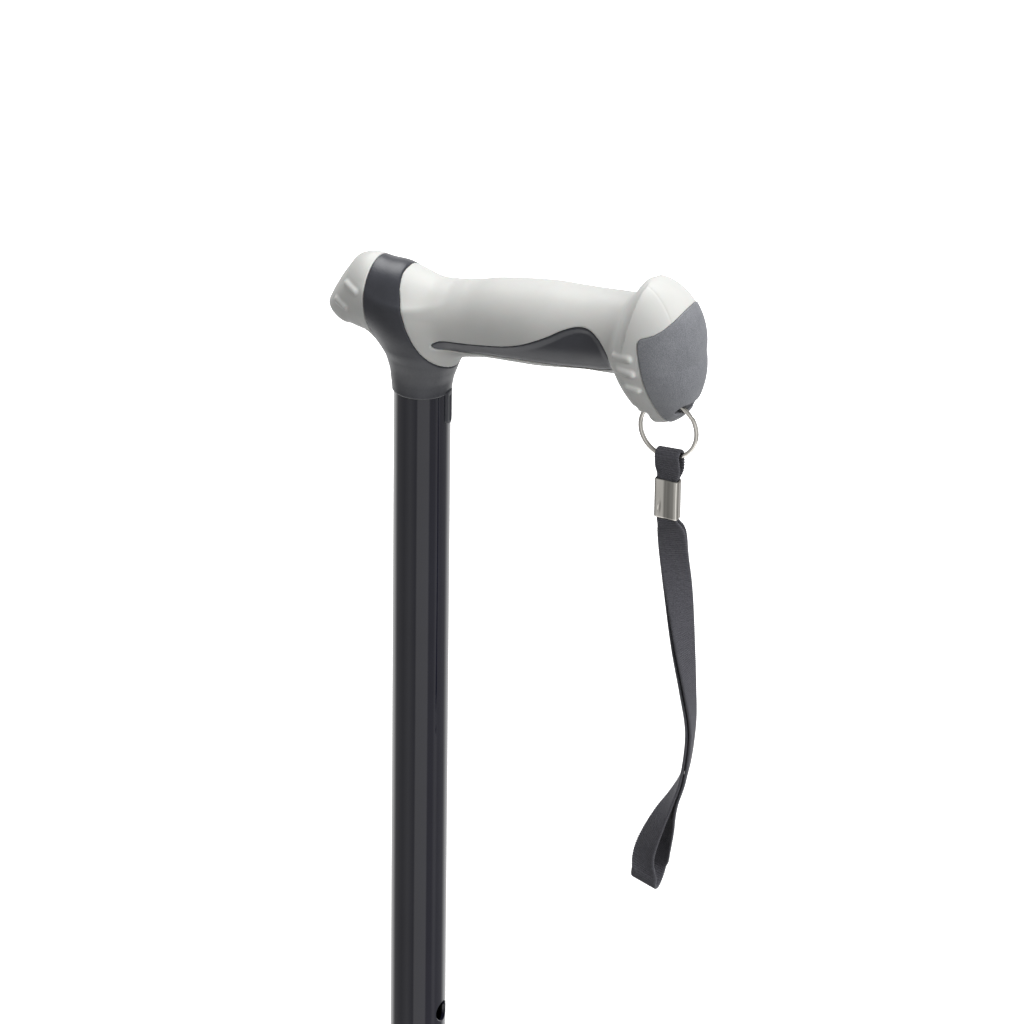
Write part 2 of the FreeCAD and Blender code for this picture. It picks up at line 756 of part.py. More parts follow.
def crimp():
    """The flat metal sleeve that holds both ends of the strap together."""
    foot = "handle_base + ring_z - ring_outer / 2 - crimp_drop - crimp_height"
    outside = box("crimp_outside", "crimp_width + 2 * crimp_sheet", "crimp_depth", "crimp_height",
                  "ring_x + crimp_shift - crimp_width / 2 - crimp_sheet", "ring_side - crimp_depth / 2", foot)
    inside = box("crimp_inside", "crimp_width", "crimp_depth - 2 * crimp_sheet", "crimp_height + 2",
                 "ring_x + crimp_shift - crimp_width / 2", "ring_side - crimp_depth / 2 + crimp_sheet",
                 foot + " - 1")
    return keep(cut("crimp", outside, inside), "strap_crimp")


# The hanging loop: depth below the ring's wire, offsets along X and Y, twist in degrees, half gap,
# and the share of its full width that the tape shows (the crimp squeezes it).
STRAP_STATIONS = (
    (-0.5, 0.7, 0.0, 0.0, 2.6, 0.9),
    (4.5, 0.9, 0.0, 0.0, 1.9, 0.92),
    (9.6, 0.3, 0.0, 0.0, 0.75, 0.74),
    (17.2, 0.3, 0.0, 0.0, 0.7, 0.74),
    (25.6, 0.4, 0.0, 0.0, 0.7, 0.74),
    (32.0, 1.4, 2.2, 9.0, 0.9, 0.98),
    (43.7, 1.5, 4.8, 23.0, 1.0, 1.0),
    (60.8, 2.9, 6.8, 48.0, 1.0, 1.0),
    (83.6, 4.8, 8.3, 72.0, 1.0, 1.0),
    (103.2, 6.5, 10.1, 91.0, 0.9, 1.0),
    (121.3, 7.8, 10.9, 104.0, 0.8, 1.0),
    (141.3, 5.9, 10.4, 107.0, 1.0, 1.0),
    (153.1, 2.1, 9.1, 118.0, 1.4, 1.0),
    (163.5, -1.6, 8.7, 136.0, 2.4, 1.0),
    (176.5, -5.6, 8.0, 158.0, 4.6, 1.0),
    (185.0, -7.0, 7.7, 186.0, 6.2, 1.0),
)
STEPS_BETWEEN_STATIONS = 3


def eased(before, start, end, after, part):
    """A smooth curve through start and end (Catmull-Rom)."""
    bend = 2 * before - 5 * start + 4 * end - after
    swing = -before + 3 * start - 3 * end + after
    return 0.5 * (2 * start + part * (end - before + part * (bend + part * swing)))


def strap_path():
    """Centre, half width vector, separation direction and half gap of the loop, from the ring down."""
    wire = number("sizes.handle_base + sizes.ring_z - sizes.ring_outer / 2 + sizes.ring_wire / 2")
    padded = (STRAP_STATIONS[0],) + STRAP_STATIONS + (STRAP_STATIONS[-1],)
    rows = []
    for index in range(len(STRAP_STATIONS) - 1):
        for step in range(STEPS_BETWEEN_STATIONS):
            part = step / STEPS_BETWEEN_STATIONS
            rows.append([eased(*values, part) for values in zip(*padded[index:index + 4])])
    rows.append(list(STRAP_STATIONS[-1]))
    middle = number("sizes.ring_x")
    side = number("sizes.ring_side")
    spots = [Vector(middle + row[1], side + row[2], wire - row[0]) for row in rows]
    places = []
    half_width = number("sizes.strap_width") / 2
    for index, (_, _, _, twist, half_gap, share) in enumerate(rows):
        down = (spots[min(index + 1, len(spots) - 1)] - spots[max(index - 1, 0)]).normalize()
        level = Vector(math.cos(math.radians(twist)), math.sin(math.radians(twist)), 0)
        across = (level - down * level.dot(down)).normalize()
        half_across = across * (half_width * share)
        places.append((spots[index], half_across, across.cross(down), down, half_gap))
    return places


def strap_section(middle, across, through):
    half_sheet = number("sizes.strap_sheet") / 2
    corners = [
        middle + across * side + through * half_sheet * face
        for side, face in ((-1, -1), (1, -1), (1, 1), (-1, 1), (-1, -1))
    ]
    return Part.makePolygon(corners)


def strap_bend(spot, across, through, onwards, half_gap):
    """Sections around the end of the loop, from one strand to the other."""
    sections = []
    for degrees in range(0, 181, 30):
        turn = math.radians(degrees)
        outward = through * math.cos(turn) + onwards * math.sin(turn)
        sections.append(strap_section(spot + outward * half_gap, across, outward))
    return Part.makeLoft(sections, True, True)


def strap_webbing():
    """One band that hangs from the ring as a closed loop and twists on its way down."""
    places = strap_path()
    strands = []
    for side in (1, -1):
        sections = [
            strap_section(spot + through * half_gap * side, across, through * side)
            for spot, across, through, down, half_gap in places
        ]
        strands.append(Part.makeLoft(sections, True, True))
    spot, across, through, down, half_gap = places[0]
    top = strap_bend(spot, across, through, down * -1, half_gap)
    spot, across, through, down, half_gap = places[-1]
    foot = strap_bend(spot, across, through, down, half_gap)
    item = doc.addObject("Part::Feature", "strap")
    item.Shape = strands[0].multiFuse([strands[1], top, foot])
    return keep(item, "strap_webbing")


def build():
    for name, (x, y) in FEET.items():
        rubber_tip("rubber_tip_" + name, x, y)
    tip_washers()
    for loop in ("near", "far"):
        leg_tube(loop + "_leg_tube", *[number("sizes.%s_%s" % (loop, end))
                                       for end in ("half", "foot_out", "foot_side", "crown", "ankle")])
    bridge_plate()
    socket()
    weld_ring("socket_weld", "crown_height + leg_tube / 2 + plate_sheet + 2 * joint_gap", "+")
    crown_welds()
    socket_fasteners()
    lower_tube()
    snap_button()
    button_spring()
    upper_tube()
    collet_bushing()
    lock_collar()
    handle()
    split_ring()
    crimp()
    strap_webbing()


def write_parts():
    doc.recompute()
    broken = [item.Name for item in doc.Objects if {"Invalid", "Error"} & set(item.State)]
    if broken:
        raise RuntimeError("failed objects: " + ", ".join(broken))
    for item in nodes:
        if item.Shape.isNull() or not item.Shape.isValid():
            raise RuntimeError("bad shape: " + item.Label)
    for item in nodes:
        item.Shape.exportStep(os.path.join("parts", item.Label + ".step"))
        print(item.Label, "solids", len(item.Shape.Solids), "volume", round(item.Shape.Volume, 1))


build()
write_parts()
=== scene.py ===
import json
import math

import bpy
import numpy as np
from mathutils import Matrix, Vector

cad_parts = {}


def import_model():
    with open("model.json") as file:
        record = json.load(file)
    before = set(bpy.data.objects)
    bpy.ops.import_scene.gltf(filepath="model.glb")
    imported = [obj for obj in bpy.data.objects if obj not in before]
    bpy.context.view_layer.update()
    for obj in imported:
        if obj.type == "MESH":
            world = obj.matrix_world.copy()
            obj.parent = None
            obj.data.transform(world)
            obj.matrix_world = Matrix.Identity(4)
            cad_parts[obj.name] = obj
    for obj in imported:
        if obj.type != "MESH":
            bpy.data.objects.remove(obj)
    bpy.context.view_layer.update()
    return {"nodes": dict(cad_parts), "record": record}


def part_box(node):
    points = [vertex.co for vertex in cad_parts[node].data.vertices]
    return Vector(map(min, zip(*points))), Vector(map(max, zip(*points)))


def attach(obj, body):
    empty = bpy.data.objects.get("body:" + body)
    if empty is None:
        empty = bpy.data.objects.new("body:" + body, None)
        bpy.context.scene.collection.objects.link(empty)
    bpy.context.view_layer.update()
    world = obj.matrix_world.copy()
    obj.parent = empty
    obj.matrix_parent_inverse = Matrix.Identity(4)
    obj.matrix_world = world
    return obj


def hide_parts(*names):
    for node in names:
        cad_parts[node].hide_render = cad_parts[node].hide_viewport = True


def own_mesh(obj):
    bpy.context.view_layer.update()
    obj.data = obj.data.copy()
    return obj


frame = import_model()

MM = 0.001

# Lengths below are millimetres about the axis of the shaft, with the floor at height 0.
tube_low, tube_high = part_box("upper_tube")
AXIS_X = (tube_low.x + tube_high.x) / 2
AXIS_Y = (tube_low.y + tube_high.y) / 2
TUBE_END = tube_low.z / MM
TUBE_IN_HANDLE = 26.0
HANDLE_BASE = tube_high.z / MM - TUBE_IN_HANDLE
TUBE_R, TUBE_BORE = 11.1, 9.65
INNER_R, INNER_BORE = 9.525, 8.225
RING_X, RING_Y = 105.9, -4.5


# Meshes ---------------------------------------------------------------------------------


def add_mesh(name, verts, faces, material, body, slot, stands_for=(), smooth_angle=None):
    """A new piece from points in millimetres about the shaft axis."""
    points = np.asarray(verts, float) * MM + np.array([AXIS_X, AXIS_Y, 0.0])
    mesh = bpy.data.meshes.new(name)
    mesh.from_pydata(points.tolist(), [], [list(map(int, face)) for face in faces])
    mesh.validate()
    mesh.update()
    if smooth_angle is None:
        mesh.shade_smooth()
    else:
        mesh.set_sharp_from_angle(angle=math.radians(smooth_angle))
    item = bpy.data.objects.new(name, mesh)
    bpy.context.scene.collection.objects.link(item)
    mesh.materials.append(material)
    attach(item, body)
    if stands_for:
        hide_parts(*stands_for)
    return item


def join(*parts):
    """Several (verts, faces) lists as one."""
    verts, faces, start = [], [], 0
    for part_verts, part_faces in parts:
        part_verts = np.asarray(part_verts, float)
        verts.append(part_verts)
        faces += [[index + start for index in face] for face in part_faces]
        start += len(part_verts)
    return np.concatenate(verts), faces


def grid_faces(rows, columns, wrap_rows=False, wrap_columns=True):
    faces = []
    for row in range(rows if wrap_rows else rows - 1):
        below = (row + 1) % rows
        for column in range(columns if wrap_columns else columns - 1):
            right = (column + 1) % columns
            faces.append([row * columns + column, row * columns + right,
                          below * columns + right, below * columns + column])
    return faces


def end_faces(rows, columns):
    """The two flat faces that close a grid of rings."""
    last = (rows - 1) * columns
    return [list(range(columns))[::-1], [last + index for index in range(columns)]]


def stitch(one, two, flip=False):
    """Faces between two closed rows of point numbers."""
    quads = [list(quad) for quad in zip(one, one[1:] + one[:1], two[1:] + two[:1], two)]
    return [quad[::-1] for quad in quads] if flip else quads


def rounded_corners(corners, radius, steps):
    """Open profile corners with every inner corner replaced by a small curve."""
    corners = [np.asarray(corner[:2], float) for corner in corners]
    result = [corners[0]]
    for before, corner, after in zip(corners, corners[1:], corners[2:]):
        back, ahead = before - corner, after - corner
        back_length, ahead_length = np.linalg.norm(back), np.linalg.norm(ahead)
        reach = min(radius, back_length * 0.45, ahead_length * 0.45)
        start = corner + back / back_length * reach
        end = corner + ahead / ahead_length * reach
        for step in range(steps + 1):
            part = step / steps
            result.append((1 - part) ** 2 * start + 2 * part * (1 - part) * corner + part ** 2 * end)
    result.append(corners[-1])
    return result


def lathe(profile, segments=96, closed=False, direction="z", at=(0, 0, 0)):
    """A profile of (radius, height) turned about Z or X. A closed profile makes a ring."""
    profile = np.asarray(profile, float)
    angles = np.arange(segments) * 2 * math.pi / segments
    radius, height = profile[:, :1], profile[:, 1:]
    one = radius * np.cos(angles)
    two = radius * np.sin(angles)
    along = height + 0 * angles
    points = np.stack([one, two, along] if direction == "z" else [along, one, two], -1)
    faces = grid_faces(len(profile), segments, wrap_rows=closed)
    points = points.reshape(-1, 3) + np.asarray(at, float)
    if not closed:
        faces += end_faces(len(profile), segments)
    return points, faces


def ring_profile(outer, inner, low, high, edge=0.3):
    """The closed profile of a plain ring with softened edges."""
    return [(inner, low + edge), (inner + edge, low), (outer - edge, low), (outer, low + edge),
            (outer, high - edge), (outer - edge, high), (inner + edge, high), (inner, high - edge)]


def unit(vector):
    return vector / max(np.linalg.norm(vector), 1e-9)


def sweep(path, radius_a, radius_b, segments, up):
    """An oval bar along a path; radius_a is across the up direction and radius_b along it."""
    path = np.asarray(path, float)
    count = len(path)
    angles = np.arange(segments) * 2 * math.pi / segments
    rows = []
    side = None
    for index, centre in enumerate(path):
        along = unit(path[min(index + 1, count - 1)] - path[max(index - 1, 0)])
        if side is None:
            side = unit(np.cross(np.asarray(up, float), along))
        side = unit(side - along * (side @ along))
        top = np.cross(along, side)
        rows.append(centre + radius_a * np.outer(np.cos(angles), side)
                    + radius_b * np.outer(np.sin(angles), top))
    return np.concatenate(rows), grid_faces(count, segments) + end_faces(count, segments)


def rounded_path(corners, radii, steps=14):
    """Points through the corners, with each inner corner replaced by a tangent arc."""
    corners = [np.asarray(corner, float) for corner in corners]
    points = [corners[0]]
    for before, corner, after, radius in zip(corners, corners[1:], corners[2:], radii):
        back, ahead = unit(before - corner), unit(after - corner)
        half_angle = math.acos(np.clip(back @ ahead, -1, 1)) / 2
        centre = corner + unit(back + ahead) * radius / math.sin(half_angle)
        start = corner + back * radius / math.tan(half_angle) - centre
        end = corner + ahead * radius / math.tan(half_angle) - centre
        whole = math.acos(np.clip(unit(start) @ unit(end), -1, 1))
        for step in range(steps + 1):
            part = step / steps
            points.append(centre + (math.sin((1 - part) * whole) * start
                                    + math.sin(part * whole) * end) / math.sin(whole))
    points.append(corners[-1])
    return points


def between_spots(a, b, c, d, part):
    """A point of the Catmull-Rom curve from b to c."""
    bend = 2 * a - 5 * b + 4 * c - d + part * (3 * b - a - 3 * c + d)
    return 0.5 * (2 * b + part * (c - a + part * bend))


def smooth_curve(spots, where):
    """A monotone cubic through (place, value) spots, read at where."""
    spots = np.asarray(spots, float)
    places, values = spots[:, 0], spots[:, 1]
    gaps = np.diff(places)
    slopes = np.diff(values) / gaps
    tangents = np.zeros_like(values)
    tangents[0], tangents[-1] = slopes[0], slopes[-1]
    for index in range(1, len(places) - 1):
        if slopes[index - 1] * slopes[index] > 0:
            one = 2 * gaps[index] + gaps[index - 1]
            two = gaps[index] + 2 * gaps[index - 1]
            tangents[index] = (one + two) / (one / slopes[index - 1] + two / slopes[index])
    where = np.clip(where, places[0], places[-1])
    at = np.clip(np.searchsorted(places, where) - 1, 0, len(places) - 2)
    part = (where - places[at]) / gaps[at]
    result = ((2 * part ** 3 - 3 * part ** 2 + 1) * values[at]
              + (part ** 3 - 2 * part ** 2 + part) * gaps[at] * tangents[at]
              + (-2 * part ** 3 + 3 * part ** 2) * values[at + 1]
              + (part ** 3 - part ** 2) * gaps[at] * tangents[at + 1])
    return result.astype(where.dtype)


# Materials ------------------------------------------------------------------------------


def math_node(tree, operation, one, two):
    """A sum worked out in a node tree, from sockets or numbers."""
    node = tree.nodes.new("ShaderNodeMath")
    node.operation = operation
    for index, value in enumerate((one, two)):
        if isinstance(value, (int, float)):
            node.inputs[index].default_value = value
        else:
            tree.links.new(value, node.inputs[index])
    return node.outputs[0]


class Nodes:
    """A short way to wire a node material."""

    def __init__(self, name):
        self.name = name
        self.material = bpy.data.materials.new(name)
        self.material.use_nodes = True
        self.tree = self.material.node_tree
        self.tree.nodes.clear()
        self.output = self.tree.nodes.new("ShaderNodeOutputMaterial")
        self.shader = self.tree.nodes.new("ShaderNodeBsdfPrincipled")
        self.tree.links.new(self.shader.outputs[0], self.output.inputs["Surface"])
        self.place = self.tree.nodes.new("ShaderNodeTexCoord").outputs["Object"]

    def link(self, source, node, socket):
        self.tree.links.new(source, node.inputs[socket])

    def node(self, kind, **settings):
        node = self.tree.nodes.new(kind)
        for key, value in settings.items():
            if hasattr(node, key):
                setattr(node, key, value)
            else:
                node.inputs[key.replace("_", " ")].default_value = value
        return node

    def set(self, **values):
        for key, value in values.items():
            self.shader.inputs[key.replace("_", " ")].default_value = value

    def stretched(self, scale):
        mapping = self.node("ShaderNodeMapping", Scale=scale)
        self.link(self.place, mapping, "Vector")
        return mapping.outputs[0]

    def noise(self, scale, detail, roughness, vector=None):
        node = self.node("ShaderNodeTexNoise", Scale=scale, Detail=detail, Roughness=roughness)
        self.link(vector or self.place, node, "Vector")
        return node.outputs["Fac"]

    def ramp(self, source, stops):
        node = self.node("ShaderNodeValToRGB")
        elements = node.color_ramp.elements
        for index, (where, value) in enumerate(stops):
            element = elements[index] if index < 2 else elements.new(where)
            element.position = where
            colour = (value, value, value) if isinstance(value, float) else value
            element.color = (*colour, 1.0)
        self.link(source, node, "Fac")
        return node.outputs["Color"]

    def math(self, operation, one, two):
        return math_node(self.tree, operation, one, two)

    def mixed(self, one, two, share):
        """A share of the first socket's value and the rest of the second's."""
        return self.math("ADD", self.math("MULTIPLY", one, share), self.math("MULTIPLY", two, 1 - share))

    def bump(self, height, strength, distance):
        node = self.node("ShaderNodeBump", Strength=strength, Distance=distance)
        self.link(height, node, "Height")
        return node.outputs[0]

    def colour(self, source):
        self.link(source, self.shader, "Base Color")

    def roughness(self, source):
        self.link(source, self.shader, "Roughness")

    def normal(self, source):
        self.link(source, self.shader, "Normal")


def mottled(name, dark, light, scale, rough, grain_scale, grain_strength, grain_depth, **settings):
    """Base for moulded and painted surfaces: cloudy colour, uneven roughness and a fine grain."""
    nodes = Nodes(name)
    nodes.colour(nodes.ramp(nodes.noise(scale, 4.0, 0.6), ((0.3, dark), (0.7, light))))
    patches = nodes.noise(scale * 2.3, 5.0, 0.6)
    nodes.roughness(nodes.ramp(patches, ((0.3, rough[0]), (0.7, rough[1]))))
    nodes.normal(nodes.bump(nodes.noise(grain_scale, 2.0, 0.6), grain_strength, grain_depth))
    nodes.set(**settings)
    return nodes


def cap_plastic():
    nodes = Nodes("cap_plastic")
    speck = nodes.noise(2400, 2.0, 0.7)
    mix = nodes.mixed(speck, nodes.noise(140, 3.0, 0.6), 0.7)
    nodes.colour(nodes.ramp(mix, ((0.34, (0.145, 0.150, 0.166)), (0.66, (0.265, 0.272, 0.292)))))
    nodes.roughness(nodes.ramp(speck, ((0.3, 0.48), (0.7, 0.66))))
    nodes.normal(nodes.bump(speck, 0.7, 0.0002))
    nodes.set(Specular_IOR_Level=0.55)
    return nodes


def inner_tube():
    """Drawn aluminium with fine lines along the tube."""
    nodes = Nodes("inner_tube")
    lines = nodes.noise(900, 4.0, 0.7, nodes.stretched((1.0, 1.0, 0.015)))
    nodes.colour(nodes.ramp(lines, ((0.3, (0.50, 0.51, 0.53)), (0.7, (0.64, 0.65, 0.67)))))
    nodes.roughness(nodes.ramp(lines, ((0.3, 0.24), (0.7, 0.36))))
    nodes.normal(nodes.bump(lines, 0.10, 0.0001))
    nodes.set(Metallic=1.0)
    return nodes


def nickel():
    """Bright plate with painted reflection: a painted highlight where it faces the camera, painted shade
    towards its turned-away edges (lighter again at the rim), and painted reflection bands along X with a dark
    band where the crimp's face bows.
    """
    nodes = mottled("nickel", (0.62, 0.60, 0.565), (0.72, 0.70, 0.665), 300, (0.06, 0.13), 900, 0.05, 0.00006,
                    Metallic=1.0)
    # Painted reflection: the colour is a painted highlight where the plate faces the camera and painted shade
    # towards its turned-away edges.
    facing = nodes.node("ShaderNodeLayerWeight", Blend=0.5)
    painted_reflection_colour = nodes.ramp(facing.outputs["Facing"], (
        (0.0, (0.95, 0.92, 0.86)), (0.32, (0.70, 0.67, 0.62)), (0.55, (0.16, 0.15, 0.14)),
        (0.8, (0.55, 0.52, 0.48))))
    # Painted reflection bands across the crimp's face, set along X in object space, with a dark band where
    # the face bows.
    across = nodes.node("ShaderNodeSeparateXYZ")
    nodes.link(nodes.place, across, "Vector")
    left, reflection_band_width = (RING_X - 5.1) * MM + AXIS_X, 10.9 * MM
    share = nodes.math("DIVIDE", nodes.math("SUBTRACT", across.outputs["X"], left), reflection_band_width)
    painted_reflection_bands = nodes.ramp(share, (
        (0.0, 0.84), (0.2, 1.0), (0.4, 0.92), (0.47, 0.40), (0.78, 0.44), (0.86, 1.0)))
    # The painted reflection colour times the painted reflection bands is the plate's colour.
    painted_plate_colour = nodes.node("ShaderNodeVectorMath", operation="MULTIPLY")
    nodes.link(painted_reflection_colour, painted_plate_colour, 0)
    nodes.link(painted_reflection_bands, painted_plate_colour, 1)
    nodes.colour(painted_plate_colour.outputs[0])
    return nodes


def webbing():
    """Ribbed tape: the ribs are in the mesh, and the fibres across them are in the material."""
    nodes = Nodes("webbing")
    thread = nodes.noise(1500, 2.0, 0.6)
    mix = nodes.mixed(nodes.noise(5200, 3.0, 0.7), thread, 0.5)
    nodes.colour(nodes.ramp(mix, ((0.36, (0.044, 0.044, 0.053)), (0.64, (0.112, 0.111, 0.127)))))
    nodes.roughness(nodes.ramp(thread, ((0.3, 0.55), (0.7, 0.75))))
    nodes.normal(nodes.bump(mix, 0.5, 0.0002))
    nodes.set(Specular_IOR_Level=0.4, Sheen_Weight=0.35, Sheen_Roughness=0.4)
    return nodes


MATERIALS = {nodes.name: nodes.material for nodes in (
    mottled("grip_rubber", (0.598, 0.601, 0.582), (0.632, 0.635, 0.615), 60, (0.42, 0.55),
            2600, 0.25, 0.00008, Specular_IOR_Level=0.42, Sheen_Weight=0.12,
            Sheen_Roughness=0.5, Subsurface_Weight=0.08, Subsurface_Scale=0.002),
    mottled("core_plastic", (0.038, 0.040, 0.048), (0.050, 0.052, 0.062), 90, (0.28, 0.36),
            1900, 0.40, 0.00012),
    mottled("tube_black", (0.0085, 0.0085, 0.0180), (0.0115, 0.0115, 0.0220), 40, (0.05, 0.08),
            700, 0.012, 0.0004, Coat_Weight=0.6, Coat_Roughness=0.03),
    mottled("base_paint", (0.010, 0.010, 0.012), (0.016, 0.016, 0.018), 120, (0.30, 0.42),
            1500, 0.30, 0.0002),
    mottled("collar_plastic", (0.016, 0.016, 0.018), (0.025, 0.025, 0.028), 100, (0.45, 0.58),
            2200, 0.45, 0.00015),
    mottled("tip_rubber", (0.017, 0.017, 0.018), (0.028, 0.028, 0.029), 80, (0.62, 0.80), 1200, 0.40, 0.0003,
            Sheen_Weight=0.08),
    mottled("zinc_steel", (0.52, 0.53, 0.55), (0.66, 0.67, 0.66), 260, (0.24, 0.38), 1400, 0.12, 0.0001,
            Metallic=1.0),
    cap_plastic(), inner_tube(), nickel(), webbing())}
for subpart in frame["record"]["subparts"]:
    carried = frame["nodes"][subpart["node"]].data
    carried.materials.clear()
    carried.materials.append(MATERIALS[subpart["material_slot"]])


def add(name, shape, body, slot, stands_for=(), smooth_angle=None):
    return add_mesh(name, *shape, MATERIALS[slot], body, slot, stands_for, smooth_angle)


# Handle: one smooth form, measured as a distance field from the foot of its collar -------

# In the fields, x, y and z are measured from the shaft's axis and the handle's foot.
# Sections of the grip along X: centre height, half height, half width.
GRIP = np.array([
    (-39.5, 29.8, 1.5, 2.0), (-38.0, 30.6, 2.6, 4.8), (-35.0, 31.9, 7.1, 8.6), (-31.0, 34.1, 11.7, 11.2),
    (-27.0, 36.6, 14.4, 12.8), (-22.0, 37.0, 15.5, 14.2), (-16.0, 36.0, 15.6, 15.2), (-9.0, 35.2, 16.1, 15.8),
    (-2.0, 33.8, 15.3, 15.8), (5.0, 32.9, 14.3, 15.4), (12.0, 34.0, 13.7, 15.0), (20.0, 34.2, 15.2, 14.8),
    (30.0, 36.3, 15.7, 15.4), (42.0, 37.8, 16.3, 16.4), (54.0, 39.0, 16.7, 16.9), (66.0, 40.0, 16.3, 16.4),
    (76.0, 41.0, 16.0, 15.8), (90.0, 42.0, 16.0, 15.8)])
GRIP_LOW_X, GRIP_HIGH_X = -39.5, 92.0
# Neck: height, radius, offset along X.
NECK = np.array([
    (-6.0, 11.6, 0.0), (0.0, 11.7, -0.2), (5.0, 12.3, -0.1), (10.0, 13.4, 0.4), (15.0, 14.8, 0.7),
    (20.0, 15.9, 0.2), (26.0, 16.1, -1.0), (36.0, 15.5, -4.5)])
POMMEL_X, POMMEL_Z = 91.5, 37.0
POMMEL_HALF_Y, POMMEL_HALF_Z = 20.6, 29.2
POMMEL_FRONT, POMMEL_BACK = 24.7, 6.7
POMMEL_LEAN_UP, POMMEL_LEAN_DOWN, POMMEL_TAPER = 0.15, 0.245, 0.485
# How square the knob is: its side view, its front and its back; 2 is round.
POMMEL_PROFILE, POMMEL_FACE, POMMEL_REAR = 1.85, 2.36, 2.4
NECK_BLEND, POMMEL_BLEND = 8.0, 5.0


def smooth_min(one, two, reach):
    share = np.clip(0.5 + 0.5 * (two - one) / reach, 0, 1)
    return two * (1 - share) + one * share - reach * share * (1 - share)


def smooth_max(one, two, reach):
    return -smooth_min(-one, -two, reach)


def grip_form(x, y, z):
    middle = smooth_curve(GRIP[:, (0, 1)], x)
    half_z = smooth_curve(GRIP[:, (0, 2)], x)
    half_y = smooth_curve(GRIP[:, (0, 3)], x)
    reach = np.sqrt((y / half_y) ** 2 + ((z - middle) / half_z) ** 2)
    side = (reach - 1) * np.minimum(half_y, half_z)
    return smooth_max(smooth_max(side, GRIP_LOW_X - x, 3.0), x - GRIP_HIGH_X, 3.0)


def neck_form(x, y, z):
    radius = smooth_curve(NECK[:, (0, 1)], z)
    middle = smooth_curve(NECK[:, (0, 2)], z)
    side = np.sqrt((x - middle) ** 2 + y ** 2) - radius
    return smooth_max(smooth_max(side, -z, 0.5), z - 38, 2)


def power_sum(one, two, power):
    return (one ** power + two ** power) ** (1 / power)


def pommel_form(x, y, z):
    """A domed knob that leans towards +X at both ends; its widest section is near its flat back."""
    up = z - POMMEL_Z
    forward = x - POMMEL_X - POMMEL_LEAN_DOWN * np.maximum(-up, 0) - POMMEL_LEAN_UP * np.maximum(up, 0)
    low = np.clip(-up / POMMEL_HALF_Z, 0, 1)
    half_y = POMMEL_HALF_Y * (1 - POMMEL_TAPER * low ** 1.5)
    along, side, rise = np.abs(forward), np.abs(y) / half_y, np.abs(up) / POMMEL_HALF_Z
    profile = power_sum(along / POMMEL_FRONT, rise, POMMEL_PROFILE)
    front = power_sum(profile, side, POMMEL_FACE)
    back = power_sum(along / POMMEL_BACK, np.sqrt(side ** 2 + rise ** 2), POMMEL_REAR)
    reach = np.maximum(np.where(forward > 0, front, back), 0.02)
    return np.sqrt(forward ** 2 + y ** 2 + up ** 2) * (1 - 1 / reach) * 0.95


def ridge(x, y, z, start, end, radius):
    """Distance to a short rounded bar between two points."""
    start, end = np.asarray(start, float), np.asarray(end, float)
    line = end - start
    offset = [x - start[0], y - start[1], z - start[2]]
    part = sum(offset[axis] * line[axis] for axis in range(3)) / (line @ line)
    part = np.clip(part, 0, 1)
    return np.sqrt(sum((offset[axis] - part * line[axis]) ** 2 for axis in range(3))) - radius


# Raised ribs on both sides, from end to end.
NOSE_RIDGES = (((-27.0, 11.0, 43.0), (-22.4, 13.2, 41.4)), ((-31.2, 10.6, 35.4), (-27.0, 12.3, 33.8)))
POMMEL_RIDGES = (((89.6, 18.9, 41.0), (95.6, 20.2, 41.4)), ((91.6, 19.6, 36.1), (97.0, 20.1, 35.3)),
                 ((94.4, 18.4, 29.2), (98.8, 18.2, 28.3)))
RIDGE_R = 1.45


def handle_form(x, y, z):
    """Distance to the whole outer surface, without ridges."""
    form = smooth_min(grip_form(x, y, z), neck_form(x, y, z), NECK_BLEND)
    form = smooth_min(form, pommel_form(x, y, z), POMMEL_BLEND)
    return smooth_max(form, -z, 0.4)


def polygon_distance(corners, x, z):
    """Signed distance in the side view to a closed outline, negative inside."""
    corners = np.asarray(corners, float)
    nearest = np.full(np.broadcast(x, z).shape, 1e9)
    inside = np.zeros(nearest.shape, bool)
    for start, end in zip(corners, np.roll(corners, -1, 0)):
        line = end - start
        off_x, off_z = x - start[0], z - start[1]
        part = np.clip((off_x * line[0] + off_z * line[1]) / (line @ line), 0, 1)
        nearest = np.minimum(nearest, (off_x - part * line[0]) ** 2 + (off_z - part * line[1]) ** 2)
        if line[1] != 0:
            crosses = (start[1] > z) != (end[1] > z)
            inside ^= crosses & (x < start[0] + off_z / line[1] * line[0])
    return np.where(inside, -1, 1) * np.sqrt(nearest)


def softened(corners, steps=4):
    """A closed outline through the corners as a Catmull-Rom curve."""
    corners = [np.asarray(corner, float) for corner in corners]
    count = len(corners)
    points = []
    for index in range(count):
        a, b, c, d = (corners[(index + shift) % count] for shift in (-1, 0, 1, 2))
        points += [between_spots(a, b, c, d, step / steps) for step in range(steps)]
    return points


